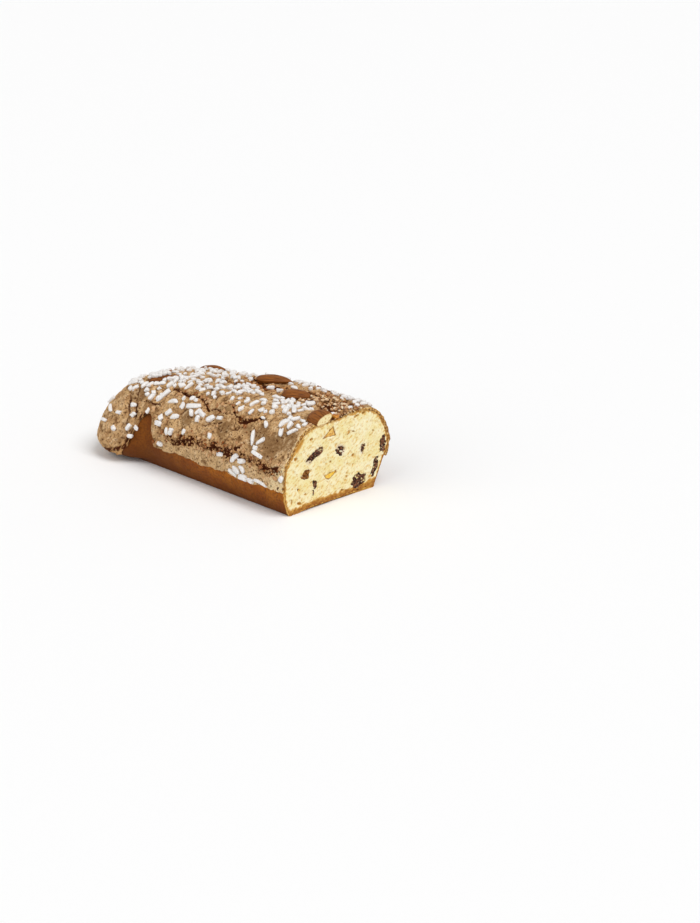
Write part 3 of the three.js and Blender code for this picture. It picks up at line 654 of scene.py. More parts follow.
def stitched(a, b):
    """Triangles between two runs of points that hold different numbers of them."""
    faces, i, j = [], 0, 0
    while i < len(a) - 1 or j < len(b) - 1:
        if j == len(b) - 1 or (i < len(a) - 1 and (i + 1) * (len(b) - 1) <= (j + 1) * (len(a) - 1)):
            faces.append((a[i], a[i + 1], b[j]))
            i += 1
        else:
            faces.append((a[i], b[j + 1], b[j]))
            j += 1
    return faces


def cut_offset():
    """What takes the loaf's own directions to the part's frame, in millimetres."""
    middle_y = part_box("peel_1")[0].y * MM - min(corner[0] for corner in PEELS[0])
    return np.array([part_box("loaf")[1].x * MM, middle_y, 0.0])


# Points nearer than the first are one, and edges shorter than the second are none, in metres.
SAME_POINT = 2e-6
NO_EDGE = 1e-6


def make_piece(name, points, faces, nodes, materials, attributes=None, looks=None, tidy=True):
    """A mesh in the part's frame that stands for those nodes, from points in the loaf's own millimetres."""
    mesh = bpy.data.meshes.new(name)
    placed = (np.asarray(points, float) + cut_offset()) / MM
    mesh.from_pydata(placed.tolist(), [], [tuple(int(k) for k in face) for face in faces])
    for key, values in (attributes or {}).items():
        layer = mesh.attributes.new(key, "FLOAT", "POINT")
        layer.data.foreach_set("value", np.asarray(values, np.float32))
    for material in materials:
        mesh.materials.append(material)
    if looks is not None:
        mesh.polygons.foreach_set("material_index", np.asarray(looks, np.int32))
    if tidy:
        bm = bmesh.new()
        bm.from_mesh(mesh)
        bmesh.ops.remove_doubles(bm, verts=bm.verts, dist=SAME_POINT)
        bmesh.ops.dissolve_degenerate(bm, edges=bm.edges, dist=NO_EDGE)
        bmesh.ops.recalc_face_normals(bm, faces=bm.faces)
        bm.to_mesh(mesh)
        bm.free()
    mesh.polygons.foreach_set("use_smooth", [True] * len(mesh.polygons))
    mesh.update()
    piece = bpy.data.objects.new(name, mesh)
    bpy.context.scene.collection.objects.link(piece)
    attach(piece, "root")
    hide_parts(*nodes)
    return piece


# ------------------------------------------------------------------ materials

# The nodes whose main output isn't their first, with its number.
MAIN_OUTPUT = {"ShaderNodeMix": 2, "ShaderNodeAttribute": 2}
MULTIPLY_ADD = {"operation": "MULTIPLY_ADD"}


def add(tree, kind, settings=None, **inputs):
    """Adds one node. Each input takes a value, a hex colour, a socket, or a node for its main output.

    An input is named as in Blender, with _ for a blank; where names repeat, by its identifier.
    """
    made = tree.nodes.new("ShaderNode" + kind)
    for name, value in (settings or {}).items():
        setattr(made, name, value)
    for name, value in inputs.items():
        taken = next(s for s in made.inputs if name in (s.identifier, s.name.replace(" ", "_")))
        if isinstance(value, str):
            value = colour(value)
        if isinstance(value, bpy.types.Node):
            value = value.outputs[MAIN_OUTPUT.get(value.bl_idname, 0)]
        if isinstance(value, bpy.types.NodeSocket):
            tree.links.new(value, taken)
        else:
            taken.default_value = value
    return made


def new_material(name):
    """An empty material, its tree of nodes, and the places that its patterns are drawn at."""
    material = bpy.data.materials.new(name)
    material.use_nodes = True
    tree = material.node_tree
    tree.nodes.clear()
    return material, tree, add(tree, "TexCoord").outputs["Object"]


def size_of(millimetres):
    """A noise texture's scale for lumps of this size, as places are in metres."""
    return MM / millimetres


def layered(tree, tint, *layers):
    """Lays colours over a first one.

    A layer is its pattern, the values where it starts and where it is full, its most, and its colour.
    """
    for pattern, start, full, most, shade in layers:
        share = add(tree, "MapRange", Value=pattern, From_Min=start, From_Max=full, To_Max=most)
        tint = add(tree, "Mix", {"data_type": "RGBA"}, Factor=share, A_Color=tint, B_Color=shade)
    return tint


def finish_material(tree, tint, roughness, specular, height=None, strength=0.0, depth=0.0):
    """Joins the colour, the sheen, and the fine relief with its strength and its depth in millimetres."""
    relief = {}
    if height is not None:
        relief["Normal"] = add(tree, "Bump", Height=height, Strength=strength, Distance=depth / MM)
    sheen = {"Roughness": roughness, "Specular_IOR_Level": specular}
    shader = add(tree, "BsdfPrincipled", Base_Color=tint, **sheen, **relief)
    add(tree, "OutputMaterial", Surface=shader)


def crumb_material():
    # Sweet yeast crumb, sliced with a knife. Pale butter yellow and dry, drawn into fine fibres as it rose,
    # with a browned edge by the crust. Shade is painted in where light is lost: the pores and the fruit's
    # pockets more golden, the larger holes brown.
    material, tree, place = new_material("Sweet yeast crumb, knife cut")
    cloud = add(tree, "TexNoise", Vector=place, Scale=size_of(8.0), Detail=3.0)
    lean, stretch = (math.radians(-60), 0, 0), (1.0, 1.0, 2.0)
    drawn = add(tree, "Mapping", {"vector_type": "TEXTURE"}, Vector=place, Rotation=lean, Scale=stretch)
    fibre = add(tree, "TexNoise", Vector=drawn, Scale=size_of(1.3), Detail=3.0, Roughness=0.5)
    pore, rim, stain = (add(tree, "Attribute", {"attribute_name": key}) for key in ("pore", "rim", "stain"))
    ragged = add(tree, "Math", MULTIPLY_ADD, Value=fibre, Value_001=1.6, Value_002=rim)
    edge = layered(tree, "D19C4A", (ragged, 1.6, 2.5, 1, "8A4A18"))
    tint = layered(
        tree, tuple(bpy.context.scene.loaf_bread.crumb),
        (cloud, 0.4, 0.64, 1, "F2E3A8"),
        (fibre, 0.48, 0.68, 0.75, "E8C36C"),
        # painted shade in the pores and the fruit's pockets
        (pore, 0, 1, 1, "D2A04A"),
        (stain, 0, 1, 1, "CDB6B0"),
        (ragged, 0.95, 1.5, 1, edge),
    )
    finish_material(tree, tint, 0.9, 0.2, fibre, 0.5, 0.8)
    return material


def crust_material():
    # Bread crust baked against a mould: satin golden brown, mottled by the fat in the tin, darker low down
    # and towards the baked end as painted shade under the glaze's overhang and the lobe, and rough golden
    # crumb at the knife's edge.
    material, tree, place = new_material("Bread crust, baked in a mould")
    cloud = add(tree, "TexNoise", Vector=place, Scale=size_of(11.0), Detail=5.0)
    grain = add(tree, "TexNoise", Vector=place, Scale=size_of(1.5), Detail=6.0)
    axes = add(tree, "SeparateXYZ", Vector=place).outputs
    broken = add(tree, "Math", MULTIPLY_ADD, Value=grain, Value_001=0.004, Value_002=axes["X"])
    cut = cut_offset()[0] / MM
    tint = layered(
        tree, tuple(bpy.context.scene.loaf_bread.crust),
        (cloud, 0.4, 0.6, 1, "BA6E1A"),
        # darker low down: painted shade under the glaze's overhang, deepest by the board
        (axes["Z"], 0.022, 0.0, 0.9, "572A0A"),
        # darker towards the baked end: painted shade under the lobe and in its arch
        (axes["X"], 0.02, -0.035, 0.75, "5F300C"),
        (grain, 0.46, 0.66, 0.75, "61330D"),
        (broken, cut + 0.0002, cut + 0.0012, 1, "D9A654"),
    )
    finish_material(tree, tint, 0.6, 0.12, grain, 0.6, 0.6)
    return material


def glaze_material():
    # Almond and egg white glaze, baked until it cracked: a matt grey-brown skin over tan foam. Smooth
    # patches are greyer and darker, torn places show orange-brown crumbs, and the fruit's syrup burnt
    # red-brown in some. Light and shade are painted in: high places lighter as highlight and low places
    # darker, and cracks, hollows, pits and pin holes almost black as shade. Gas left pin holes about half a
    # millimetre wide, drawn up to a millimetre so that they show.
    material, tree, place = new_material("Nut glaze, baked and crackled")
    names = ("opened", "torn", "calm", "pitted", "strip", "golden", "burnt", "relief")
    given = {key: add(tree, "Attribute", {"attribute_name": key}) for key in names}
    grain = add(tree, "TexNoise", Vector=place, Scale=size_of(1.4), Detail=6.0, Roughness=0.65)
    cloud = add(tree, "TexNoise", Vector=place, Scale=size_of(7.0), Detail=4.0)
    holes = add(tree, "TexVoronoi", Vector=place, Scale=size_of(1.7))
    near_hole = add(tree, "MapRange", Value=holes, From_Min=0.38, From_Max=0.22)
    lot = add(tree, "SeparateXYZ", Vector=holes.outputs["Color"])
    drawn = add(tree, "Math", {"operation": "LESS_THAN"}, Value=lot, Value_001=0.25)
    holed = add(tree, "Math", {"operation": "MULTIPLY"}, Value=near_hole, Value_001=drawn)
    ragged = add(tree, "Math", MULTIPLY_ADD, Value=grain, Value_001=1.3, Value_002=given["torn"])
    deep = add(tree, "Math", MULTIPLY_ADD, Value=grain, Value_001=0.6, Value_002=given["opened"])
    fleck = (grain, 0.5, 0.64, 0.8)
    crumbs = layered(tree, "D3A269", (*fleck, "703C10"))
    bare = layered(tree, "F1DAAB", (*fleck, "B4732E"))
    syrup = layered(tree, "BC6C22", (*fleck, "6E2E08"))
    tint = layered(
        tree, tuple(bpy.context.scene.loaf_glaze.skin),
        (cloud, 0.4, 0.62, 1, "D3AC7A"),
        (given["calm"], 0, 1, 0.8, "84623D"),
        (given["strip"], 0, 1, 0.7, "D6B383"),
        # painted highlight on the high places and painted shade in the low ones
        (given["relief"], 0.52, 0.74, 0.75, "E3C297"),
        (given["relief"], 0.42, 0.18, 0.85, "6F4A28"),
        (*fleck, "6C4827"),
        # painted shade in the pin holes
        (holed, 0, 1, 1, "4C2408"),
        (ragged, 1.0, 1.5, 0.9, crumbs),
        (given["golden"], 0, 1, 1, bare),
        (given["burnt"], 0, 1, 1, syrup),
        # painted shade, almost black, in the cracks and hollows
        (deep, 0.5, 1.0, 1, "4A1F05"),
        # painted shade in the pits
        (given["pitted"], 0, 1, 1, "4C2408"),
    )
    finish_material(tree, tint, 0.85, 0.12, grain, 0.9, 0.9)
    return material


def sliced_glaze_material():
    # The same glaze where the knife went through it: golden tan foam with pale nut bits, its holes painted
    # brown as shade.
    material, tree, place = new_material("Nut glaze, knife cut")
    grain = add(tree, "TexNoise", Vector=place, Scale=size_of(1.6), Detail=5.0)
    bits = add(tree, "TexVoronoi", Vector=place, Scale=size_of(1.8))
    # the darkest brown is painted shade standing for the foam's holes
    tint = layered(tree, "E2BC78", (bits, 0.2, 0.7, 1, "A8702C"), (grain, 0.52, 0.62, 1, "6F3F16"))
    finish_material(tree, tint, 0.85, 0.2, grain, 0.8, 0.8)
    return material


def glaze_crumb_material():
    # Toasted crumbs of the glaze, from pale nut to dark caramel, one shade to a crumb.
    material, tree, place = new_material("Nut glaze crumbs, toasted")
    shade = add(tree, "Attribute", {"attribute_name": "shade"})
    grain = add(tree, "TexNoise", Vector=place, Scale=size_of(1.2), Detail=4.0)
    uneven = add(tree, "Math", MULTIPLY_ADD, Value=grain, Value_001=0.7, Value_002=shade)
    tint = layered(tree, "CDA071", (uneven, 0.85, 1.25, 1, "F0D9B6"), (uneven, 0.75, 0.4, 1, "8A4A14"))
    finish_material(tree, tint, 0.75, 0.3, grain, 0.6, 0.6)
    return material


def sugar_material():
    # Pearl sugar, pressed from fine crystals: opaque white, dusty, with a grey cast in its grain.
    material, tree, place = new_material("Pearl sugar, pressed")
    grain = add(tree, "TexNoise", Vector=place, Scale=size_of(1.0), Detail=4.0)
    tint = layered(tree, tuple(bpy.context.scene.loaf_sugar.white), (grain, 0.45, 0.7, 0.8, "D9D3CE"))
    finish_material(tree, tint, 0.55, 0.4, grain, 0.5, 0.5)
    return material


def almond_skin_material():
    # Almond skin, dried on the nut: warm brown, half matt, with fine furrows that run from end to end.
    material, tree, _ = new_material("Almond skin, oven dried")
    along, around = (add(tree, "Attribute", {"attribute_name": key}) for key in ("along", "around"))
    lying = add(tree, "CombineXYZ", X=along, Y=around)
    streaks = add(tree, "Mapping", Vector=lying, Scale=(1.6, 34.0, 1.0))
    furrow = add(tree, "TexNoise", Vector=streaks, Scale=1.0, Detail=5.0)
    tint = layered(tree, tuple(bpy.context.scene.loaf_nuts.skin), (furrow, 0.44, 0.66, 1, "5C3110"))
    finish_material(tree, tint, 0.5, 0.16, furrow, 0.5, 0.5)
    return material


def kernel_material():
    # Almond kernel, sliced: waxy cream with a thin golden rim under the skin and toasted specks.
    material, tree, place = new_material("Almond kernel, knife cut")
    inward = add(tree, "Attribute", {"attribute_name": "inward"})
    grain = add(tree, "TexNoise", Vector=place, Scale=size_of(1.8), Detail=4.0)
    ragged = add(tree, "Math", MULTIPLY_ADD, Value=grain, Value_001=0.2, Value_002=inward)
    meat = layered(tree, tuple(bpy.context.scene.loaf_nuts.kernel), (grain, 0.52, 0.64, 0.8, "CFA050"))
    tint = layered(tree, "B98238", (ragged, 0.12, 0.28, 1, meat))
    finish_material(tree, tint, 0.6, 0.35)
    return material


def raisin_material(name, shade, painted_fold_lighting):
    # Dried grape, plump from the dough's moisture: dark, wrinkled skin with a half gloss, light and shade
    # painted on its folds, and a few bits of crumb that the knife smeared over it.
    material, tree, place = new_material(name)
    cloud = add(tree, "TexNoise", Vector=place, Scale=size_of(1.8), Detail=4.0)
    smear = add(tree, "TexNoise", Vector=place, Scale=size_of(2.1), Detail=2.0)
    # the second colour is painted light and shade on the raised folds
    tint = layered(tree, shade, (cloud, 0.47, 0.6, 1, painted_fold_lighting), (smear, 0.62, 0.66, 0.8, "E0C79C"))
    finish_material(tree, tint, 0.4, 0.2, cloud, 0.8, 0.9)
    return material


def peel_material(name, shade, light_shade):
    # Candied citrus peel, cut in wedges: amber, sticky and cloudy, darker at its skin.
    material, tree, place = new_material(name)
    cloud = add(tree, "TexNoise", Vector=place, Scale=size_of(1.7), Detail=4.0)
    inward = add(tree, "Attribute", {"attribute_name": "inward"})
    ragged = add(tree, "Math", MULTIPLY_ADD, Value=cloud, Value_001=0.3, Value_002=inward)
    amber = layered(tree, shade, (cloud, 0.38, 0.54, 1, light_shade))
    tint = layered(tree, "A0641A", (ragged, 0.26, 0.48, 1, amber))
    finish_material(tree, tint, 0.32, 0.45, cloud, 0.6, 0.7)
    return material


def floor_material():
    # Matt painted board: an even white that only takes a soft shadow.
    material, tree, _ = new_material("Studio board, matt painted")
    finish_material(tree, tuple(bpy.context.scene.loaf_stage.floor_colour), 0.9, 0.1)
    return material


# ------------------------------------------------------------------ sizes and colours that can be changed


def shade_of(name, description, default):
    """A colour that can be changed, from an sRGB hex value."""
    return FloatVectorProperty(
        name=name, description=description, subtype="COLOR", size=4, default=colour(default))


def length_of(name, description, millimetres):
    """A length that can be changed."""
    return FloatProperty(name=name, description=description, unit="LENGTH", default=millimetres / MM)


class BreadSettings(bpy.types.PropertyGroup):
    crumb: shade_of("Crumb", "Colour of the cut crumb", "F8EEC6")
    crust: shade_of("Crust", "Colour of the baked wall", "A3570F")
    pore_depth: length_of("Pore Depth", "How deep the largest fine pores are", 1.1)


class GlazeSettings(bpy.types.PropertyGroup):
    skin: shade_of("Skin", "Colour of the glaze's skin", "BD9263")
    dome: length_of("Dome", "Thickness over the crown", 2.2)
    overhang: length_of("Overhang", "Thickness at the dome's lower lip", 3.4)
    strip: length_of("Strip", "Thickness just under the overhang", 1.3)
    lip: length_of("Lip", "Thickness at the glaze's edge", 2.3)


class SugarSettings(bpy.types.PropertyGroup):
    white: shade_of("White", "Colour of the sugar", "F0EDEA")
    grains: IntProperty(
        name="Grains", description="How many grains lie on the crown and the far side", default=330)
    width: length_of("Width", "Usual width of a grain", 3.2)


class NutSettings(bpy.types.PropertyGroup):
    skin: shade_of("Skin", "Colour of the almond skin", "915622")
    kernel: shade_of("Kernel", "Colour of the cut kernel", "F1E0AC")
    furrow: length_of("Furrow", "Depth of the furrows in the skin", 0.22)


class FruitSettings(bpy.types.PropertyGroup):
    raisin: shade_of("Raisin", "Colour of the dark raisins", "38180B")
    peel: shade_of("Peel", "Colour of the candied peel", "D08A1E")


class StageSettings(bpy.types.PropertyGroup):
    floor_colour: shade_of("Floor", "Colour of the board", "FAFAFA")
    floor_size: length_of("Floor Size", "Side of the board", 60000)


# ------------------------------------------------------------------ the bread

SKIN_COLUMNS = 241
SKIN_ROWS = 241
PATCH_ROW = 122  # the cut's side edges start at this row of the skin
HEEL_RINGS = (0.35, 0.7, 1.0)  # rings of the rounding to the base, in quarter turns
PORE_LEAN = -62  # the pores are drawn out this way, as tilts are given
HOLE_DEPTH = 2.2
LUMP_BACK = 1.1  # the torn lumps at the cut's lower edge fall back so far
LUMP_UP = 1.5  # and rise so far
STAIN_REACH = 1.3  # so far from a raisin its juice has tinged the crumb
BASE_ARCH = 1.3  # so far the cut's lower edge stands clear of the board in its middle

# Fine pores: how far apart they lie, the largest one's radius, how rare they are, and their noise's number.
PORES = ((1.5, 0.9, 0, 51), (2.4, 1.3, 0.2, 55), (4.6, 1.8, 0.5, 59))


def in_cut(across, up):
    """Places in the knife's plane."""
    return np.stack([np.zeros_like(across), across, up], axis=-1)


def leaning(y, z, tilt):
    """Distances across and along something whose top leans to the near side by this many degrees."""
    angle = math.radians(tilt)
    return y * math.cos(angle) + z * math.sin(angle), z * math.cos(angle) - y * math.sin(angle)


def hole_depths(across, up):
    """How far the crumb falls back from the knife's plane, and how much of that is pores."""
    flat = in_cut(across, up)
    deepest = bpy.context.scene.loaf_bread.pore_depth * MM
    warped = flat + 0.5 * np.stack([noise(flat, 3, 50 + k) for k in range(3)], axis=-1)
    along, aside = leaning(warped[:, 1], warped[:, 2], PORE_LEAN)
    warped = np.stack([warped[:, 0], along, 0.65 * aside], axis=-1)
    pores = np.zeros(len(across))
    for spacing, largest, rare, seed in PORES:
        distance, _, own = nearest_speck(warped, spacing, seed)
        radius = largest * smooth(rare, 1.3, own) + 1e-6
        pores = np.maximum(pores, radius * np.clip(1 - (distance / radius) ** 2, 0, None))
    pores = np.minimum(pores, deepest)
    depth = 0.12 + 0.14 * noise(flat, 1.1, 63) + 0.7 * pores
    for y, z, width, height, tilt in HOLES:
        wide, high = leaning(across - y, up - z, tilt)
        reach = (wide / (width / 2)) ** 2 + (high / (height / 2)) ** 2
        reach = reach * (1 + 0.35 * noise(flat, 1.8, 64))
        hollow = HOLE_DEPTH * np.sqrt(np.clip(1 - reach, 0, None))
        depth = np.maximum(depth, hollow)
        pores = np.maximum(pores, hollow)
    return depth, pores


def raisin_outline(index, across, up):
    """Half width of a torn, lobed raisin that way from its middle, as a share of its even outline's."""
    away = np.maximum(np.hypot(across, up), 1e-6)
    way = np.stack([across / away, up / away, np.full(np.shape(away), 3.7 * index)], axis=-1)
    return 0.98 + np.clip(0.5 * noise(way, 0.9, 125) + 0.35 * noise(way, 0.37, 126), -0.24, 0.2)


def from_raisin(one, across, up):
    """Distances from a raisin's middle, across it and along it."""
    return leaning(across - one["at"][0], up - one["at"][1], one["tilt"])


def fruit_pockets(across, up):
    """How deep the pockets are that the fruit sits in, with crumb smeared across them here and there."""
    flat = in_cut(across, up)
    smear = noise(flat, 1.9, 66) + 0.4 * noise(flat, 1.0, 67)
    depth = np.zeros(len(across))
    for index, one in enumerate(RAISINS):
        wide, high = from_raisin(one, across, up)
        wide, high = 2 * wide / one["size"][0], 2 * high / one["size"][1]
        inside = np.clip(1 - (np.hypot(wide, high) / raisin_outline(index, wide, high)) ** 2, 0, None)
        half = min(one["size"]) * RAISIN_DEPTH + TOUCH_GAP
        open_here = (inside > 0) * (1 - smooth(0, 0.15, smear - 0.75 + 0.8 * one["smeared"]))
        depth = np.maximum(depth, open_here * half * (np.sqrt(inside) + RAISIN_SUNK + 0.15))
    for corners in PEELS:
        inset = polygon_inset(corners, across, up) - 0.1 - 0.3 * smear
        depth = np.maximum(depth, PEEL_DEPTH * smooth(0, 0.2, inset))
    return depth


def polygon_inset(corners, across, up):
    """How far inside an outline with corners listed either way round each place is, negative outside."""
    corners = np.array(corners, float)
    middle = corners.mean(axis=0)
    inset = np.full(np.shape(across), np.inf)
    for start, end in zip(corners, np.roll(corners, -1, axis=0)):
        way = unit(end - start)
        inward = np.array([-way[1], way[0]])
        inward = inward * np.sign((middle - start) @ inward)
        inset = np.minimum(inset, (across - start[0]) * inward[0] + (up - start[1]) * inward[1])
    return inset


def stain_of(across, up):
    """How far the juice of the raisins has tinged the crumb just round them."""
    stain = np.zeros(len(across))
    for index in STAINING_RAISINS:
        one = RAISINS[index]
        wide, high = from_raisin(one, across, up)
        half_wide, half_high = (size / 2 + STAIN_REACH for size in one["size"])
        shares = np.hypot(wide / half_wide, high / half_high)
        stain = np.maximum(stain, 1 - smooth(0.75, 1.15, shares))
    flat = in_cut(across, up)
    return stain * np.clip(0.3 + 0.8 * noise(flat, 3.2, 70), 0, 0.45)


def bread_skin():
    """The crust as a grid of columns round the loaf, from crown to base, with its rounding to the base."""
    rounds = np.linspace(NEAR_CUT, FAR_CUT, SKIN_COLUMNS)
    rows = even_rows(np.linspace(0, 1, SKIN_ROWS), HEEL_ROW)
    row, round_ = (part.ravel() for part in np.meshgrid(rows, rounds, indexing="ij"))
    base = bread_point(round_, row)
    bumps = 0.3 * noise(base, 13, 71) + 0.14 * noise(base, 4, 72) + 0.06 * noise(base, 1.5, 73)
    bumps = bumps + bell(base[:, 0], 2.5) * (0.3 * noise(base, 2.6, 76) + 0.2 * noise(base, 1.3, 77))
    fade = smooth(0, 0.3, row) * smooth(0, 0.4, HEEL_ROW - row + 0.1)
    points = base + (bumps * fade)[:, None] * bread_frame(round_, row)[2]
    points = points.reshape(SKIN_ROWS, SKIN_COLUMNS, 3)
    heel = bread_point(rounds, HEEL_ROW)
    middle = np.stack([stop_at(rounds)[0], np.zeros(SKIN_COLUMNS), np.zeros(SKIN_COLUMNS)], axis=-1)
    inward = unit((middle - heel) * np.array([1.0, 1.0, 0.0]))
    rings = []
    for turn in HEEL_RINGS:
        angle = turn * math.pi / 2
        ring = heel + HEEL_INSET * (1 - math.cos(angle)) * inward
        ring[:, 2] = heel[:, 2] * (1 - math.sin(angle))
        rings.append(ring)
    points = np.concatenate([points, np.stack(rings)])
    points[:, [0, -1], 0] = 0.0
    return points, middle


def cut_patch(skin):
    """The cut face as a grid stretched between the crust's two ends, with a flat bottom edge."""
    left, right = skin[PATCH_ROW:, 0], skin[PATCH_ROW:, -1]
    top = np.concatenate([skin[PATCH_ROW:0:-1, 0], skin[: PATCH_ROW + 1, -1]])
    u = np.linspace(0, 1, len(top))[None, :, None]
    v = np.linspace(0, 1, len(left))[:, None, None]
    bottom = mix(left[-1], right[-1], u[0])
    rails = mix(top[None], bottom[None], v) + mix(left[:, None], right[:, None], u)
    corners = mix(mix(top[0], top[-1], u), mix(left[-1], right[-1], u), v)
    return rails - corners


def browned_edge(flat, edge):
    """How far the crumb is browned along the base, the sides, and the wall below the glaze."""
    across, up = flat[:, 1], flat[:, 2]
    thicker = 1 + 0.7 * smooth(25, 45, across)
    golden_band = 0.7 * (1 - smooth(3.6, 7.0, up / thicker + 1.6 * noise(flat, 4, 75)))
    blotched = up / thicker + 1.7 * noise(flat, 2.3, 78) + 0.8 * noise(flat, 1.2, 68)
    brown_band = 0.65 * (1 - smooth(2.6, 6.0, blotched))
    side_band = 0.75 * (1 - smooth(0.4, 2.2, edge + 0.7 * noise(flat, 2.2, 79)))
    below_glaze = 1 - smooth(0, 6, up - mix(32, 50, smooth(0, 1, across)))
    wall = 0.8 * (1 - smooth(0.2, 1.2, edge + 0.4 * noise(flat, 1.8, 69))) * below_glaze
    return np.maximum(golden_band + brown_band, side_band + wall)


class LOAF_OT_bread(bpy.types.Operator):
    """The bread: the baked crust all round, and the crumb with its pores in the knife's cut"""

    bl_idname = "loaf.bread"
    bl_label = "Bread"

    def execute(self, context):
        skin, middle = bread_skin()
        rings = len(skin)
        patch = cut_patch(skin)
        rows, columns = patch.shape[:2]
        flat = patch.reshape(-1, 3).copy()
        across, up = flat[:, 1], flat[:, 2]
        outline = np.concatenate([patch[0], patch[:, 0], patch[:, -1], patch[-1]])[:, 1:]
        edge = np.min([np.hypot(across - y, up - z) for y, z in outline[::2]], axis=0)
        depth, pores = hole_depths(across, up)
        pockets = fruit_pockets(across, up)
        depth = np.maximum(depth, pockets)
        lumpy = 0.6 * noise(flat, 2.6, 74) + 0.6 * noise(flat, 1.3, 65)
        lumps = smooth(-0.2, 0.6, lumpy) * (1 - smooth(0, 1.6, up))
        flat[:, 0] -= depth * smooth(0, 0.6, edge) + LUMP_BACK * lumps
        from_side = np.minimum(np.arange(columns), columns - 1 - np.arange(columns))
        inner_share = np.tile(smooth(0, 3, from_side), rows)
        # the larger holes take the browned edge's colour as painted shade
        rim = np.maximum(browned_edge(flat, edge), 0.75 * smooth(1.1, 1.9, pores))
        arched = smooth(-40, -20, across) * (1 - smooth(30, 45, across)) * (1 - smooth(0, 8, up))
        flat[:, 2] += (LUMP_UP * lumps + BASE_ARCH * arched) * inner_share

        first = rings * SKIN_COLUMNS
        start = first + rows * columns
        skin_faces = grid_faces(0, rings, SKIN_COLUMNS)
        patch_faces = grid_faces(first, rows, columns)
        last = (rings - 1) * SKIN_COLUMNS
        inner = np.arange(1, SKIN_COLUMNS - 2)
        base_faces = np.stack([last + inner, last + inner + 1, start + inner + 1, start + inner], axis=-1)
        bottom_edge = first + (rows - 1) * columns + np.arange(columns)
        beside = [last + 1, start + 1, last + SKIN_COLUMNS - 2]
        cut_strip = stitched(bottom_edge, beside)
        faces = [*skin_faces, *patch_faces, *base_faces, *cut_strip]
        looks = np.zeros(len(faces), int)
        looks[len(skin_faces) : len(skin_faces) + len(patch_faces)] = 1
        points = np.concatenate([skin.reshape(-1, 3), flat, middle])

        def spread(values):
            return np.concatenate([np.zeros(first), values, np.zeros(len(middle))])

        attributes = {
            # painted shade: the pores and the fruit's pockets are coloured golden
            "pore": spread(np.clip(pores * 0.9 + 0.6 * (pockets > 0), 0, 1)),
            "rim": spread(rim),
            "stain": spread(stain_of(across, up)),
        }
        materials = [crust_material(), crumb_material()]
        make_piece("bread", points, faces, ["loaf"], materials, attributes, looks)
        return {"FINISHED"}


# ------------------------------------------------------------------ the glaze and its crumbs

GLAZE_COLUMNS = 673
GLAZE_ROWS = 129
NEAR_COLUMNS = 0.52  # the share of the columns that stand on the near side and the end's first quarter
LIP_TURNS = 6
LIP_RADIUS_ROWS = 0.09
BACK_EVERY = 8  # the hidden back has one column and one row for this many of the front
BACK_GAP = 0.08


class LOAF_OT_glaze(bpy.types.Operator):
    """The crackled glaze: dome, overhanging lip, lower strip and rounded edge, closed round the back"""

    bl_idname = "loaf.glaze"
    bl_label = "Glaze"

    def execute(self, context):
        quarter = SIDE_RUN + END_RUN / 4
        rounds = np.interp(
            np.linspace(0, 1, GLAZE_COLUMNS), (0, NEAR_COLUMNS, 1), (NEAR_CUT, quarter, FAR_CUT))
        edges = edge_row(rounds)
        shares = np.linspace(0, 1, GLAZE_ROWS)
        rows = np.stack([even_rows(share, edges) for share in shares])
        round_grid = np.broadcast_to(rounds, rows.shape)
        front, finish, lift = glaze_surface(round_grid.ravel(), rows.ravel())
        edge_lift = lift.reshape(rows.shape)[-1]

        rings = [front.reshape(GLAZE_ROWS, GLAZE_COLUMNS, 3)]
        for turn in np.linspace(0, math.pi, LIP_TURNS + 2)[1:-1]:
            at_row = edges + LIP_RADIUS_ROWS * math.sin(turn)
            height = mix(BACK_GAP, edge_lift, (1 + math.cos(turn)) / 2)
            out = bread_frame(rounds, at_row)[2]
            rings.append((bread_point(rounds, at_row) + height[:, None] * out)[None])
        grid = np.concatenate(rings)
        grid[:, [0, -1], 0] = 0.0
        for key, values in finish.items():
            lip = np.repeat(values.reshape(rows.shape)[-1:], LIP_TURNS, axis=0)
            finish[key] = np.concatenate([values, lip.ravel()])

        back_columns = np.arange(0, GLAZE_COLUMNS, BACK_EVERY)
        back_rows = np.arange(GLAZE_ROWS - 1, -1, -BACK_EVERY)
        back_rounds, back_row = rounds[back_columns], rows[np.ix_(back_rows, back_columns)]
        back_round = np.broadcast_to(back_rounds, back_row.shape)
        back = bread_point(back_round, back_row) + BACK_GAP * bread_frame(back_round, back_row)[2]
        back[:, [0, -1], 0] = 0.0

        count = len(grid) * GLAZE_COLUMNS
        wide = len(back_columns)
        faces = list(grid_faces(0, len(grid), GLAZE_COLUMNS))
        faces += list(grid_faces(count, len(back_rows), wide))
        lowest = (len(grid) - 1) * GLAZE_COLUMNS
        faces += stitched(lowest + np.arange(GLAZE_COLUMNS), count + np.arange(wide))
        sides = len(faces)
        for column, back_column in ((0, 0), (GLAZE_COLUMNS - 1, wide - 1)):
            side = np.arange(len(grid) - 1, -1, -1) * GLAZE_COLUMNS + column
            faces += stitched(side, count + np.arange(len(back_rows)) * wide + back_column)
        points = np.concatenate([grid.reshape(-1, 3), back.reshape(-1, 3)])
        for key, values in finish.items():
            finish[key] = np.concatenate([values, np.zeros(back.size // 3)])
        looks = np.zeros(len(faces), int)
        looks[sides:] = 1
        materials = [glaze_material(), sliced_glaze_material()]
        make_piece("nut_glaze", points, faces, ["glaze"], materials, finish, looks)
        return {"FINISHED"}


def lump(longitudes, latitudes):
    """Directions and faces of a ball, from pole to pole along X."""
    around = np.arange(longitudes) * 2 * math.pi / longitudes
    along = np.linspace(0, math.pi, latitudes)
    a, b = np.meshgrid(along, around, indexing="ij")
    points = np.stack([-np.cos(a), np.sin(a) * np.cos(b), np.sin(a) * np.sin(b)], axis=-1)
    return points.reshape(-1, 3), grid_faces(0, latitudes, longitudes, closed=True)


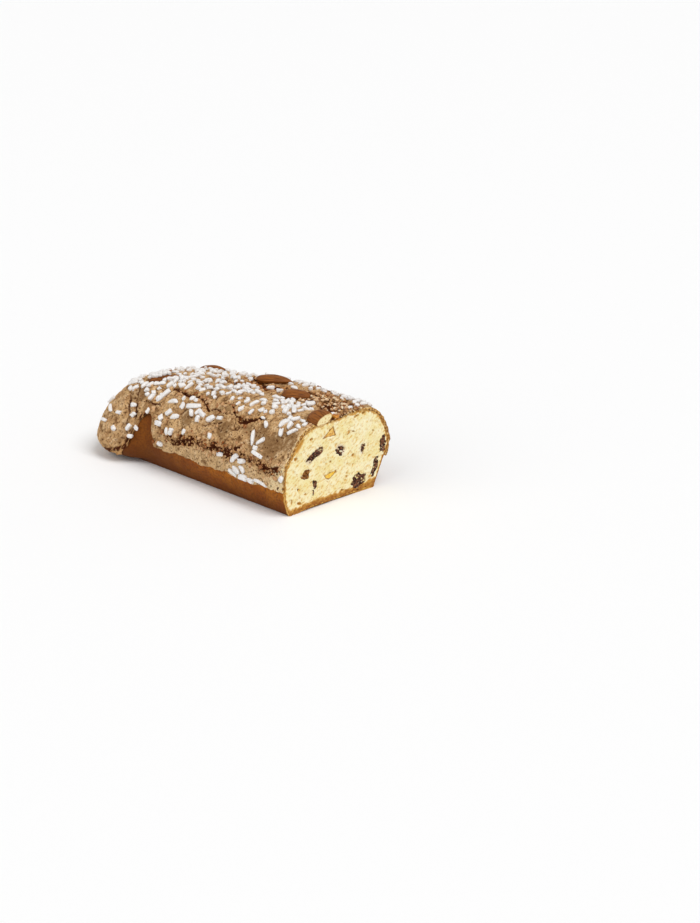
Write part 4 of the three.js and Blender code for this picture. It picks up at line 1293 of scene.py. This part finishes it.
def squared(directions, sharpness):
    """The ball drawn out towards a box with rounded corners; higher sharpness, squarer."""
    reach = np.sum(np.abs(directions) ** sharpness, axis=-1, keepdims=True) ** (-1 / sharpness)
    return directions * reach


def scatter(ball, ball_faces, placements):
    """One mesh from many copies of a ball: each placement gives a shape and the frame it lies in."""
    points, faces = [], []
    for index, (shape, turned, at) in enumerate(placements):
        points.append(shape @ turned.T + at)
        faces.append(ball_faces + index * len(ball))
    return np.concatenate(points), np.concatenate(faces)


def lying_frame(round_, row, turn):
    """A frame on the surface: first the long axis, turned from the way round, then across, then out."""
    across, down, out = bread_frame(round_, row)
    along = unit(math.cos(turn) * across + math.sin(turn) * down)
    along = unit(along - (along @ out) * out)
    return np.stack([along, np.cross(out, along), out], axis=1)


def crumb_share(round_, row):
    """How thickly crumbs lie: on torn places and in the broken patch."""
    points, finish, _ = glaze_surface(round_, row)
    covered = np.maximum(finish["opened"], finish["burnt"])
    return points, finish["torn"] * (0.25 + 0.75 * broken_patch(points)) * (1 - 0.9 * covered)


CRUMB_COUNT = 1100
CRUMB_SIZES = (3.6, 0.6)
CRUMB_TRIES = 26000
CRUMB_DRAW = 5
CRUMB_ROWS = (0.02, 5.0)
CRUMB_BALL = (9, 7)  # points round it, and rings from end to end
CRUMB_FROM_CUT = 1.0
CRUMB_FROM_NUTS = 0.2


class LOAF_OT_crumbs(bpy.types.Operator):
    """The crumbs of broken glaze in the cracks, round the almonds and on the patch beside the cut"""

    bl_idname = "loaf.crumbs"
    bl_label = "Glaze Crumbs"

    def execute(self, context):
        draw = np.random.default_rng(CRUMB_DRAW)
        round_ = draw.uniform(NEAR_CUT + 1.5, FAR_CUT - 1.5, CRUMB_TRIES)
        row = draw.uniform(*CRUMB_ROWS, CRUMB_TRIES)
        points, share = crumb_share(round_, row)
        free = ~near_almonds(points, CRUMB_FROM_NUTS) & (row < edge_row(round_) - 0.15)
        drawn = (draw.uniform(0, 1, CRUMB_TRIES) < share) & free & (points[:, 0] < -CRUMB_FROM_CUT)
        kept = np.flatnonzero(drawn)[:CRUMB_COUNT]
        ball, ball_faces = lump(*CRUMB_BALL)
        placements = []
        for index, k in enumerate(kept):
            size = mix(*CRUMB_SIZES, math.sqrt(index / CRUMB_COUNT))
            half = size / 2 * draw.uniform((0.8, 0.6, 0.45), (1.2, 1.0, 0.8))
            ragged = 1 + 0.6 * noise(ball * 2 + 10 * index, 1.1, 90)
            turned = lying_frame(round_[k], row[k], draw.uniform(0, math.pi))
            shape = squared(ball, draw.uniform(2.2, 4)) * ragged[:, None] * half
            placements.append((shape, turned, points[k] + 0.1 * size * turned[:, 2]))
        paler = 0.55 + 0.45 * broken_patch(points[kept])
        shade = np.repeat(draw.uniform(0, 1, len(kept)) * paler, len(ball))
        points, faces = scatter(ball, ball_faces, placements)
        looks, given = [glaze_crumb_material()], {"shade": shade}
        make_piece("glaze_crumbs", points, faces, ["glaze"], looks, given, tidy=False)
        return {"FINISHED"}


def near_almonds(points, margin):
    """True where a point lies over or within this many millimetres of an almond."""
    near = np.zeros(len(points), bool)
    for one in ALMONDS:
        turned, middle = almond_matrix(one)
        half = np.array(one["size"]) / 2 + margin
        local = (points - middle) @ turned / half
        near |= (np.abs(local[:, 1]) < almond_radius(local[:, 0])) & (np.abs(local[:, 2]) < 2.2)
    return near


# ------------------------------------------------------------------ pearl sugar

SUGAR_DRAW = 12
SUGAR_TRIES = 30000
SUGAR_LAST_ROW = 5.0
SUGAR_ROOM = (4.2, 2.5)  # so far apart the first grains lie, and the last
SUGAR_LENGTHS = (8.0, 2.8)
SUGAR_ROCK = {True: 8, False: 22}  # a grain leans up to so many degrees, placed singly or strewn
SUGAR_BALL = (16, 12)
SUGAR_FROM_CUT = 3.5
SUGAR_FROM_NUTS = 0.8

# The lowest row that the crown's sugar reaches: round, row.
SUGAR_REACH = (
    (12, 1.9), (30, 2.0), (50, 1.75), (70, 2.05), (90, 2.0), (105, 2.5), (125, 2.3), (150, 2.35),
    (172, 2.5), (190, 2.1), (199, 2.4), (210, 2.0), (225, 1.7), (300, 1.7), (428, 1.9),
)

# Where it lies in piles: round, row and half width.
SUGAR_PILES = (
    (204, 2.0, 6), (205.5, 1.43, 8), (226.5, 1.05, 9), (240, 0.9, 9), (295.5, 0.78, 9), (305.5, 1.73, 9),
    (180, 1.6, 8), (165, 1.2, 9), (137.5, 1.05, 13), (120, 0.7, 11), (103, 0.58, 13), (73, 1.53, 10),
    (60.5, 0.6, 9), (45, 0.05, 13), (27, 1.83, 10), (362.5, 1.88, 8), (377.5, 1.93, 8), (398.5, 1.95, 8),
    (410, 2.0, 7), (427, 1.8, 7),
)

# Places on the crown that the sugar leaves bare: round, row and half width.
BARE_PATCHES = (
    (146.5, 1.8, 7), (98, 2.05, 11), (112, 2.0, 8), (84, 2.1, 9), (359, 0.5, 6), (348, 0.5, 7),
    (372, 0.45, 4), (391, 1.0, 6), (60, 2.35, 8), (316, 0.2, 4),
)

# Sugar on the almond at the baked end: share along and across it, turn and length.
NUT_SUGAR = (
    (-0.6, 0.1, 20, 6), (-0.25, -0.45, 70, 5.5), (0.1, 0.1, 0, 7), (0.45, -0.3, 50, 5),
    (-0.2, 0.5, 110, 5.5), (0.5, 0.35, 140, 5), (0.75, 0, 90, 4.5), (-0.75, -0.4, 100, 4),
    (0.15, -0.6, 10, 4.5), (-0.45, -0.1, 120, 4.5),
)
SUGARED_ALMOND = 4


def sugar_density(round_, row):
    """Dense on the crown, thin on the hidden flank; the near flank's grains are placed one by one."""
    lowest = np.interp(round_, *zip(*SUGAR_REACH))
    crown = 1 - smooth(lowest - 0.2, lowest + 0.1, row)
    hidden = 0.16 * (row < 4.8) * (round_ > MID_END)
    places = bread_point(round_, row)
    piled = np.zeros(len(places))
    for half, away in distances(SUGAR_PILES, places):
        piled = np.maximum(piled, 1 - smooth(0.7 * half, 1.2 * half, away))
    crown = crown * (0.22 + 0.78 * piled)
    for half, away in distances(BARE_PATCHES, places):
        crown = crown * (0.06 + 0.94 * smooth(0.7 * half, 1.15 * half, away))
    return np.maximum(crown, hidden)


def on_almond(one, along, across):
    """The place on an almond's upper side at these shares of its half length and half width."""
    turned, middle = almond_matrix(one)
    radius = almond_radius(along)
    high = radius * math.sqrt(1 - across**2)
    return middle + turned @ (np.array([along, across * radius, high]) * np.array(one["size"]) / 2)


class LOAF_OT_sugar(bpy.types.Operator):
    """The pearl sugar: rounded bars pressed into the glaze, thick on the crown and sparse on the flanks"""

    bl_idname = "loaf.sugar"
    bl_label = "Pearl Sugar"

    def execute(self, context):
        settings = context.scene.loaf_sugar
        draw = np.random.default_rng(SUGAR_DRAW)
        round_ = draw.uniform(NEAR_CUT + 1, FAR_CUT - 1, SUGAR_TRIES)
        row = even_rows(draw.uniform(0, 1, SUGAR_TRIES), SUGAR_LAST_ROW)
        keep = draw.uniform(0, 1, SUGAR_TRIES) < sugar_density(round_, row)
        round_, row = round_[keep], row[keep]
        points, finish, _ = glaze_surface(round_, row)
        clump = smooth(-0.3, 0.3, noise(points, 10, 100))
        fits = (points[:, 0] < -SUGAR_FROM_CUT) & ~near_almonds(points, SUGAR_FROM_NUTS)
        fits &= finish["opened"] < 0.6
        clumped = np.clip(clump + 0.5, 0, 1) * (1 - 0.9 * broken_patch(points))
        fits &= draw.uniform(0, 1, len(points)) < clumped
        grains = [(*one, True) for one in FLANK_SUGAR]
        taken = [bread_point(one[0], one[1]) for one in FLANK_SUGAR]
        for k in np.flatnonzero(fits):
            if len(grains) >= settings.grains + len(FLANK_SUGAR):
                break
            share = (len(grains) - len(FLANK_SUGAR)) / settings.grains
            room = mix(*SUGAR_ROOM, share) * (1 + 0.5 * smooth(0.3, 1.0, row[k]) * (round_[k] < 150))
            base = bread_point(round_[k], row[k])
            if np.min(np.linalg.norm(np.array(taken) - base, axis=-1)) < room:
                continue
            length = mix(*SUGAR_LENGTHS, share**0.4) * draw.uniform(0.75, 1.2)
            taken.append(base)
            grains.append((round_[k], row[k], draw.uniform(0, 180), length, False))
        ball, ball_faces = lump(*SUGAR_BALL)
        rounds, rows = (np.array([grain[k] for grain in grains], float) for k in (0, 1))
        at = glaze_surface(rounds, rows)[0]
        nut = ALMONDS[SUGARED_ALMOND]
        on_nut = [on_almond(nut, along, across) for along, across, _, _ in NUT_SUGAR]
        at = np.concatenate([at, on_nut])
        grains += [(nut["round"], nut["row"], turn, length, False) for _, _, turn, length in NUT_SUGAR]
        placements = []
        for index, (grain, middle) in enumerate(zip(grains, at)):
            grain_round, grain_row, turn, length, single = grain
            width = settings.width * MM * draw.uniform(0.8, 1.2) * (1 if length > 4 else 0.85)
            half = np.array([length, width, 0.85 * width]) / 2
            shape = squared(ball, draw.uniform(2.6, 7))
            lumpy = 0.3 * noise(ball * 1.1 + 7 * index, 1.0, 101) + 0.14 * noise(ball + 5 * index, 0.5, 102)
            shape = shape * (1 + lumpy)[:, None] * half
            shape[:, 0] += draw.uniform(-0.35, 0.35) * shape[:, 1]
            shape[:, 1] += 0.05 * draw.uniform(-1, 1) * shape[:, 0] ** 2 / half[0] * 2
            turned = lying_frame(grain_round, grain_row, math.radians(turn))
            tilt = SUGAR_ROCK[single]
            rock = Matrix.Rotation(math.radians(draw.uniform(-tilt, tilt)), 3, "Y")
            rock = rock @ Matrix.Rotation(math.radians(draw.uniform(-tilt, tilt)), 3, "X")
            rise = 0.3 if single else draw.uniform(0.3, 0.7)
            placements.append((shape @ np.array(rock).T, turned, middle + rise * half[2] * turned[:, 2]))
        points, faces = scatter(ball, ball_faces, placements)
        make_piece("pearl_sugar", points, faces, ["glaze"], [sugar_material()])
        return {"FINISHED"}


# ------------------------------------------------------------------ almonds

ALMOND_LENGTHWAYS = 73
ALMOND_AROUND = 72
KERNEL_RINGS = (0.06, 0.14, 0.3, 0.5, 0.7, 0.88)  # from the skin inwards
KERNEL_DISH = 0.0002  # so far the knife's cut sinks in the kernel, in metres


def almond_mesh(one, index):
    """An almond's points in the loaf's millimetres, with furrows, and where each lies on the skin."""
    depth = bpy.context.scene.loaf_nuts.furrow * MM
    ends = np.linspace(0, math.pi, ALMOND_LENGTHWAYS)
    turns = np.arange(ALMOND_AROUND) * 2 * math.pi / ALMOND_AROUND
    end, turn = np.meshgrid(ends, turns, indexing="ij")
    along = -np.cos(end)
    radius = almond_radius(along)
    shape = np.stack([along, radius * np.cos(turn), radius * np.sin(turn)], axis=-1)
    flat = (shape * np.array(one["size"]) / 2).reshape(-1, 3)
    lanes = np.stack([along * 1.2, np.cos(turn) * 5, np.sin(turn) * 5], axis=-1).reshape(-1, 3) + 9 * index
    furrows = noise(lanes, 1.0, 110) + 0.6 * noise(lanes * 1.9, 1.0, 111)
    lumps = 0.25 * noise(flat + 40 * index, 7, 112)
    push = (depth * furrows + lumps) * radius.ravel() ** 0.5
    outwards = unit(flat * np.array([0.15, 1, 1]) / (np.array(one["size"]) ** 2))
    turned, middle = almond_matrix(one)
    points = (flat + push[:, None] * outwards) @ turned.T + middle
    shares = {"along": along.ravel(), "around": turn.ravel() / (2 * math.pi), "inward": np.ones(len(flat))}
    return points, grid_faces(0, ALMOND_LENGTHWAYS, ALMOND_AROUND, closed=True), shares


def kernel_face(bm, corners):
    face = bm.faces.new(corners)
    face.material_index = 1
    face.smooth = True


def slice_almond(piece):
    """Takes away what the knife took and closes the cut with the kernel, in rings from the skin inwards."""
    bm = bmesh.new()
    bm.from_mesh(piece.data)
    plane = Vector((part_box("loaf")[1].x, 0, 0))
    whole = [*bm.verts, *bm.edges, *bm.faces]
    cut = bmesh.ops.bisect_plane(
        bm, geom=whole, plane_co=plane, plane_no=(1, 0, 0), clear_outer=True, dist=NO_EDGE)
    loop = [v for v in cut["geom_cut"] if isinstance(v, bmesh.types.BMVert)]
    middle = sum((v.co for v in loop), Vector()) / len(loop)
    loop.sort(key=lambda v: math.atan2(v.co.z - middle.z, v.co.y - middle.y))
    inward = bm.verts.layers.float["inward"]
    for v in loop:
        v[inward] = 0.0
    outer = loop
    for share in KERNEL_RINGS:
        ring = []
        for v in loop:
            made = bm.verts.new(v.co.lerp(middle, share))
            made.co.x -= KERNEL_DISH * math.sin(share * math.pi)
            made[inward] = share
            ring.append(made)
        for k in range(len(loop)):
            kernel_face(bm, (outer[k - 1], outer[k], ring[k], ring[k - 1]))
        outer = ring
    centre = bm.verts.new(middle)
    centre[inward] = 1.0
    for k in range(len(outer)):
        kernel_face(bm, (outer[k - 1], outer[k], centre))
    bmesh.ops.recalc_face_normals(bm, faces=bm.faces)
    bm.to_mesh(piece.data)
    bm.free()


class LOAF_OT_almonds(bpy.types.Operator):
    """The whole almonds in their skins, one of them sliced by the knife"""

    bl_idname = "loaf.almonds"
    bl_label = "Almonds"

    def execute(self, context):
        looks = [almond_skin_material(), kernel_material()]
        for index, one in enumerate(ALMONDS):
            points, faces, attributes = almond_mesh(one, index)
            node = f"almond_{index + 1}"
            piece = make_piece(f"nut_{index + 1}", points, faces, [node], looks, attributes)
            if index == SLICED_ALMOND:
                slice_almond(piece)
        return {"FINISHED"}


# ------------------------------------------------------------------ raisins and peel

RAISIN_BALL = (48, 36)  # points round it, and rings from end to end
PEEL_BALL = (32, 24)
PEEL_SIDE_POINTS = 14
PEEL_RINGS = 12  # in the cut face
PEEL_DEPTH_RINGS = 8
PEEL_CENTRE = 0.02  # the smallest ring, as a share of the outline


class LOAF_OT_raisins(bpy.types.Operator):
    """The raisins that show in the cut, wrinkled and flattened a little by the knife"""

    bl_idname = "loaf.raisins"
    bl_label = "Raisins"

    def execute(self, context):
        # the last colour is painted on the folds: lighter brown as highlight on the dark raisins, darker
        # brown as shade on the golden one
        dark = raisin_material("Raisin, dark", tuple(context.scene.loaf_fruit.raisin), "8A5638")
        golden = raisin_material("Raisin, golden", "9A6426", "6B3C14")
        ball, faces = lump(*RAISIN_BALL)
        for index, one in enumerate(RAISINS):
            seeded = ball * 1.5 + 11 * index
            fine = 1 - 2 * np.abs(noise(seeded, 0.4, 121))
            ridges = 1 - 2 * np.abs(noise(seeded, 0.8, 120)) + 0.5 * fine
            shape = ball * (0.96 + 0.05 * ridges)[:, None]
            depth = min(one["size"]) * RAISIN_DEPTH
            shape[:, 1:] *= 1.08 * raisin_outline(index, ball[:, 1], ball[:, 2])[:, None]
            shape = shape * np.array([depth, one["size"][0] / 2, one["size"][1] / 2])
            tilt = np.array(Matrix.Rotation(math.radians(one["tilt"]), 3, "X"))
            points = shape @ tilt.T + np.array([-depth * RAISIN_SUNK, *one["at"]])
            over = np.clip(points[:, 0], 0, None)
            face = np.stack([0 * over, points[:, 1], points[:, 2]], axis=-1) + 3 * index
            folds = 0.6 * np.abs(noise(face, 2.6, 123)) + 0.4 * np.abs(noise(face, 1.3, 124))
            face = mix(RAISIN_FACE[0], RAISIN_FACE[1], smooth(0, 0.4, folds))
            points[:, 0] = np.minimum(points[:, 0] - RAISIN_FACE[1], mix(0, -face, smooth(0, 0.7, over)))
            look = golden if index == PALE_RAISIN else dark
            name = f"dried_grape_{index + 1}"
            make_piece(name, points, faces, [f"raisin_{index + 1}"], [look])
        return {"FINISHED"}


def peel_mesh(corners, index):
    """A wedge of peel: its cut face in rings from the middle out, rounded over into its sides."""
    corners = np.array(corners, float)
    middle = corners.mean(axis=0)
    shares = np.linspace(0, 1, PEEL_SIDE_POINTS, endpoint=False)[:, None]
    outline = np.concatenate([shares * (b - a) + a for a, b in zip(corners, np.roll(corners, -1, 0))])
    for _ in range(2):
        outline = (np.roll(outline, 1, 0) + 2 * outline + np.roll(outline, -1, 0)) / 4
    rings, inward = [], []
    for share in np.linspace(PEEL_CENTRE, 1, PEEL_RINGS):
        flat = middle + (outline - middle) * share
        x = np.full(len(flat), -PEEL_FACE)
        rings.append(np.column_stack([x, flat]))
        inward.append(np.full(len(flat), 1 - share))
    for depth in np.linspace(PEEL_FACE + 0.3, PEEL_DEPTH, PEEL_DEPTH_RINGS):
        rings.append(np.column_stack([np.full(len(outline), -depth), outline]))
        inward.append(np.zeros(len(outline)))
    smallest = middle + (outline - middle) * PEEL_CENTRE
    closing = np.column_stack([np.full(len(outline), -PEEL_DEPTH), smallest])
    rings.append(closing)
    inward.append(np.zeros(len(outline)))
    points = np.concatenate(rings)
    points[:, 0] += 0.35 * noise(points + 9 * index, 1.5, 130) * (points[:, 0] > -0.5)
    return points, grid_faces(0, len(rings), len(outline), closed=True), {"inward": np.concatenate(inward)}


class LOAF_OT_peel(bpy.types.Operator):
    """The candied peel: wedges in the cut and a lump in the glaze at the cut's upper edge"""

    bl_idname = "loaf.peel"
    bl_label = "Candied Peel"

    def execute(self, context):
        peel = tuple(context.scene.loaf_fruit.peel)
        amber = peel_material("Candied orange peel, cut", peel, "EDC262")
        yellow = peel_material("Candied lemon peel, cut", "E9A91F", "F4C948")
        for index, corners in enumerate(PEELS):
            look = yellow if index == LEMON_PEEL else amber
            points, faces, attributes = peel_mesh(corners, index)
            name = f"peel_wedge_{index + 1}"
            make_piece(name, points, faces, [f"peel_{index + 1}"], [look], attributes)
        dark = peel_material("Candied orange peel, baked", "A85612", "D98F2C")
        ball, faces = lump(*PEEL_BALL)
        shape = squared(ball, 3.2) * (1 + 0.14 * noise(ball * 1.6, 1.0, 131))[:, None]
        points = 0.94 * shape * np.array(TOP_PEEL["size"]) / 2 + np.array(TOP_PEEL["at"])
        points[:, 0] = np.minimum(points[:, 0], 0)
        attributes = {"inward": np.full(len(points), 0.3)}
        node = f"peel_{len(PEELS) + 1}"
        make_piece("peel_lump", points, faces, [node], [dark], attributes)
        return {"FINISHED"}


# ------------------------------------------------------------------ the stage

IMAGE = (700, 923)
FOCAL_PIXELS = 1714.3
SENSOR = 36.0
CAMERA_AZIMUTH = 45.2
CAMERA_ELEVATION = 19.8
CAMERA_DISTANCE = 1200.0
CAMERA_CLIP = (0.05, 50.0)  # metres
CUT_CORNER = (0.0, -43.0, 0.0)  # the cut's near lower corner is seen at this pixel
CUT_CORNER_PIXEL = (289.5, 516.7)


def place_camera():
    azimuth, elevation = math.radians(CAMERA_AZIMUTH), math.radians(CAMERA_ELEVATION)
    level = math.cos(elevation)
    back = Vector((math.sin(azimuth) * level, -math.cos(azimuth) * level, math.sin(elevation)))
    right = Vector((math.cos(azimuth), math.sin(azimuth), 0))
    up = back.cross(right)
    aside = (CUT_CORNER_PIXEL[0] - IMAGE[0] / 2) / FOCAL_PIXELS * CAMERA_DISTANCE
    above = -(CUT_CORNER_PIXEL[1] - IMAGE[1] / 2) / FOCAL_PIXELS * CAMERA_DISTANCE
    corner = Vector(np.array(CUT_CORNER) + cut_offset())
    place = corner + back * CAMERA_DISTANCE - right * aside - up * above
    data = bpy.data.cameras.new("camera")
    data.sensor_width = SENSOR
    data.lens = FOCAL_PIXELS * SENSOR / max(IMAGE)
    data.clip_start, data.clip_end = CAMERA_CLIP
    camera = bpy.data.objects.new("camera", data)
    camera.location = place / MM
    camera.rotation_euler = Matrix((right, up, back)).transposed().to_euler()
    bpy.context.scene.collection.objects.link(camera)
    bpy.context.scene.camera = camera


SKY_STRENGTH = 0.45

# Name, power, softness in degrees, azimuth it comes from, elevation.
SUNS = (
    ("key", 1.7, 35, 95, 58),
    ("fill", 0.7, 60, -10, 35),
)


class LOAF_OT_stage(bpy.types.Operator):
    """The pale board, the soft light and the camera"""

    bl_idname = "loaf.stage"
    bl_label = "Stage"

    def execute(self, context):
        scene = context.scene
        half = scene.loaf_stage.floor_size / 2
        mesh = bpy.data.meshes.new("board")
        corners = [(-half, -half, 0), (half, -half, 0), (half, half, 0), (-half, half, 0)]
        mesh.from_pydata(corners, [], [(0, 1, 2, 3)])
        mesh.materials.append(floor_material())
        board = bpy.data.objects.new("board", mesh)
        scene.collection.objects.link(board)
        for name, power, softness, azimuth, elevation in SUNS:
            light = bpy.data.lights.new(name, "SUN")
            light.energy = power
            light.angle = math.radians(softness)
            lamp = bpy.data.objects.new(name, light)
            a, e = math.radians(azimuth), math.radians(elevation)
            towards = Vector((math.sin(a) * math.cos(e), -math.cos(a) * math.cos(e), math.sin(e)))
            lamp.rotation_euler = towards.to_track_quat("Z", "Y").to_euler()
            scene.collection.objects.link(lamp)
        world = bpy.data.worlds.new("studio")
        world.use_nodes = True
        sky = world.node_tree.nodes["Background"].inputs
        sky["Color"].default_value = colour("FFFFFF")
        sky["Strength"].default_value = SKY_STRENGTH
        scene.world = world
        scene.view_settings.view_transform = "Standard"
        place_camera()
        return {"FINISHED"}


# ------------------------------------------------------------------ add-on

PROPERTY_GROUPS = (
    ("loaf_bread", BreadSettings),
    ("loaf_glaze", GlazeSettings),
    ("loaf_sugar", SugarSettings),
    ("loaf_nuts", NutSettings),
    ("loaf_fruit", FruitSettings),
    ("loaf_stage", StageSettings),
)
OPERATORS = (
    LOAF_OT_stage,
    LOAF_OT_bread,
    LOAF_OT_glaze,
    LOAF_OT_crumbs,
    LOAF_OT_sugar,
    LOAF_OT_almonds,
    LOAF_OT_raisins,
    LOAF_OT_peel,
)


class LOAF_PT_pieces(bpy.types.Panel):
    """The loaf's pieces and what can be changed about them"""

    bl_idname = "LOAF_PT_pieces"
    bl_label = "Fruit Loaf"
    bl_space_type = "VIEW_3D"
    bl_region_type = "UI"
    bl_category = "Fruit Loaf"

    def draw(self, context):
        for name, group in PROPERTY_GROUPS:
            box = self.layout.box()
            for key in group.__annotations__:
                box.prop(getattr(context.scene, name), key)
        for operator in OPERATORS:
            self.layout.operator(operator.bl_idname)


def register():
    for name, group in PROPERTY_GROUPS:
        bpy.utils.register_class(group)
        setattr(bpy.types.Scene, name, PointerProperty(type=group))
    for kind in (*OPERATORS, LOAF_PT_pieces):
        bpy.utils.register_class(kind)


def unregister():
    for kind in (LOAF_PT_pieces, *reversed(OPERATORS)):
        bpy.utils.unregister_class(kind)
    for name, group in reversed(PROPERTY_GROUPS):
        delattr(bpy.types.Scene, name)
        bpy.utils.unregister_class(group)


def main():
    register()
    for operator in OPERATORS:
        group, name = operator.bl_idname.split(".")
        getattr(getattr(bpy.ops, group), name)()


if __name__ == "__main__":
    main()
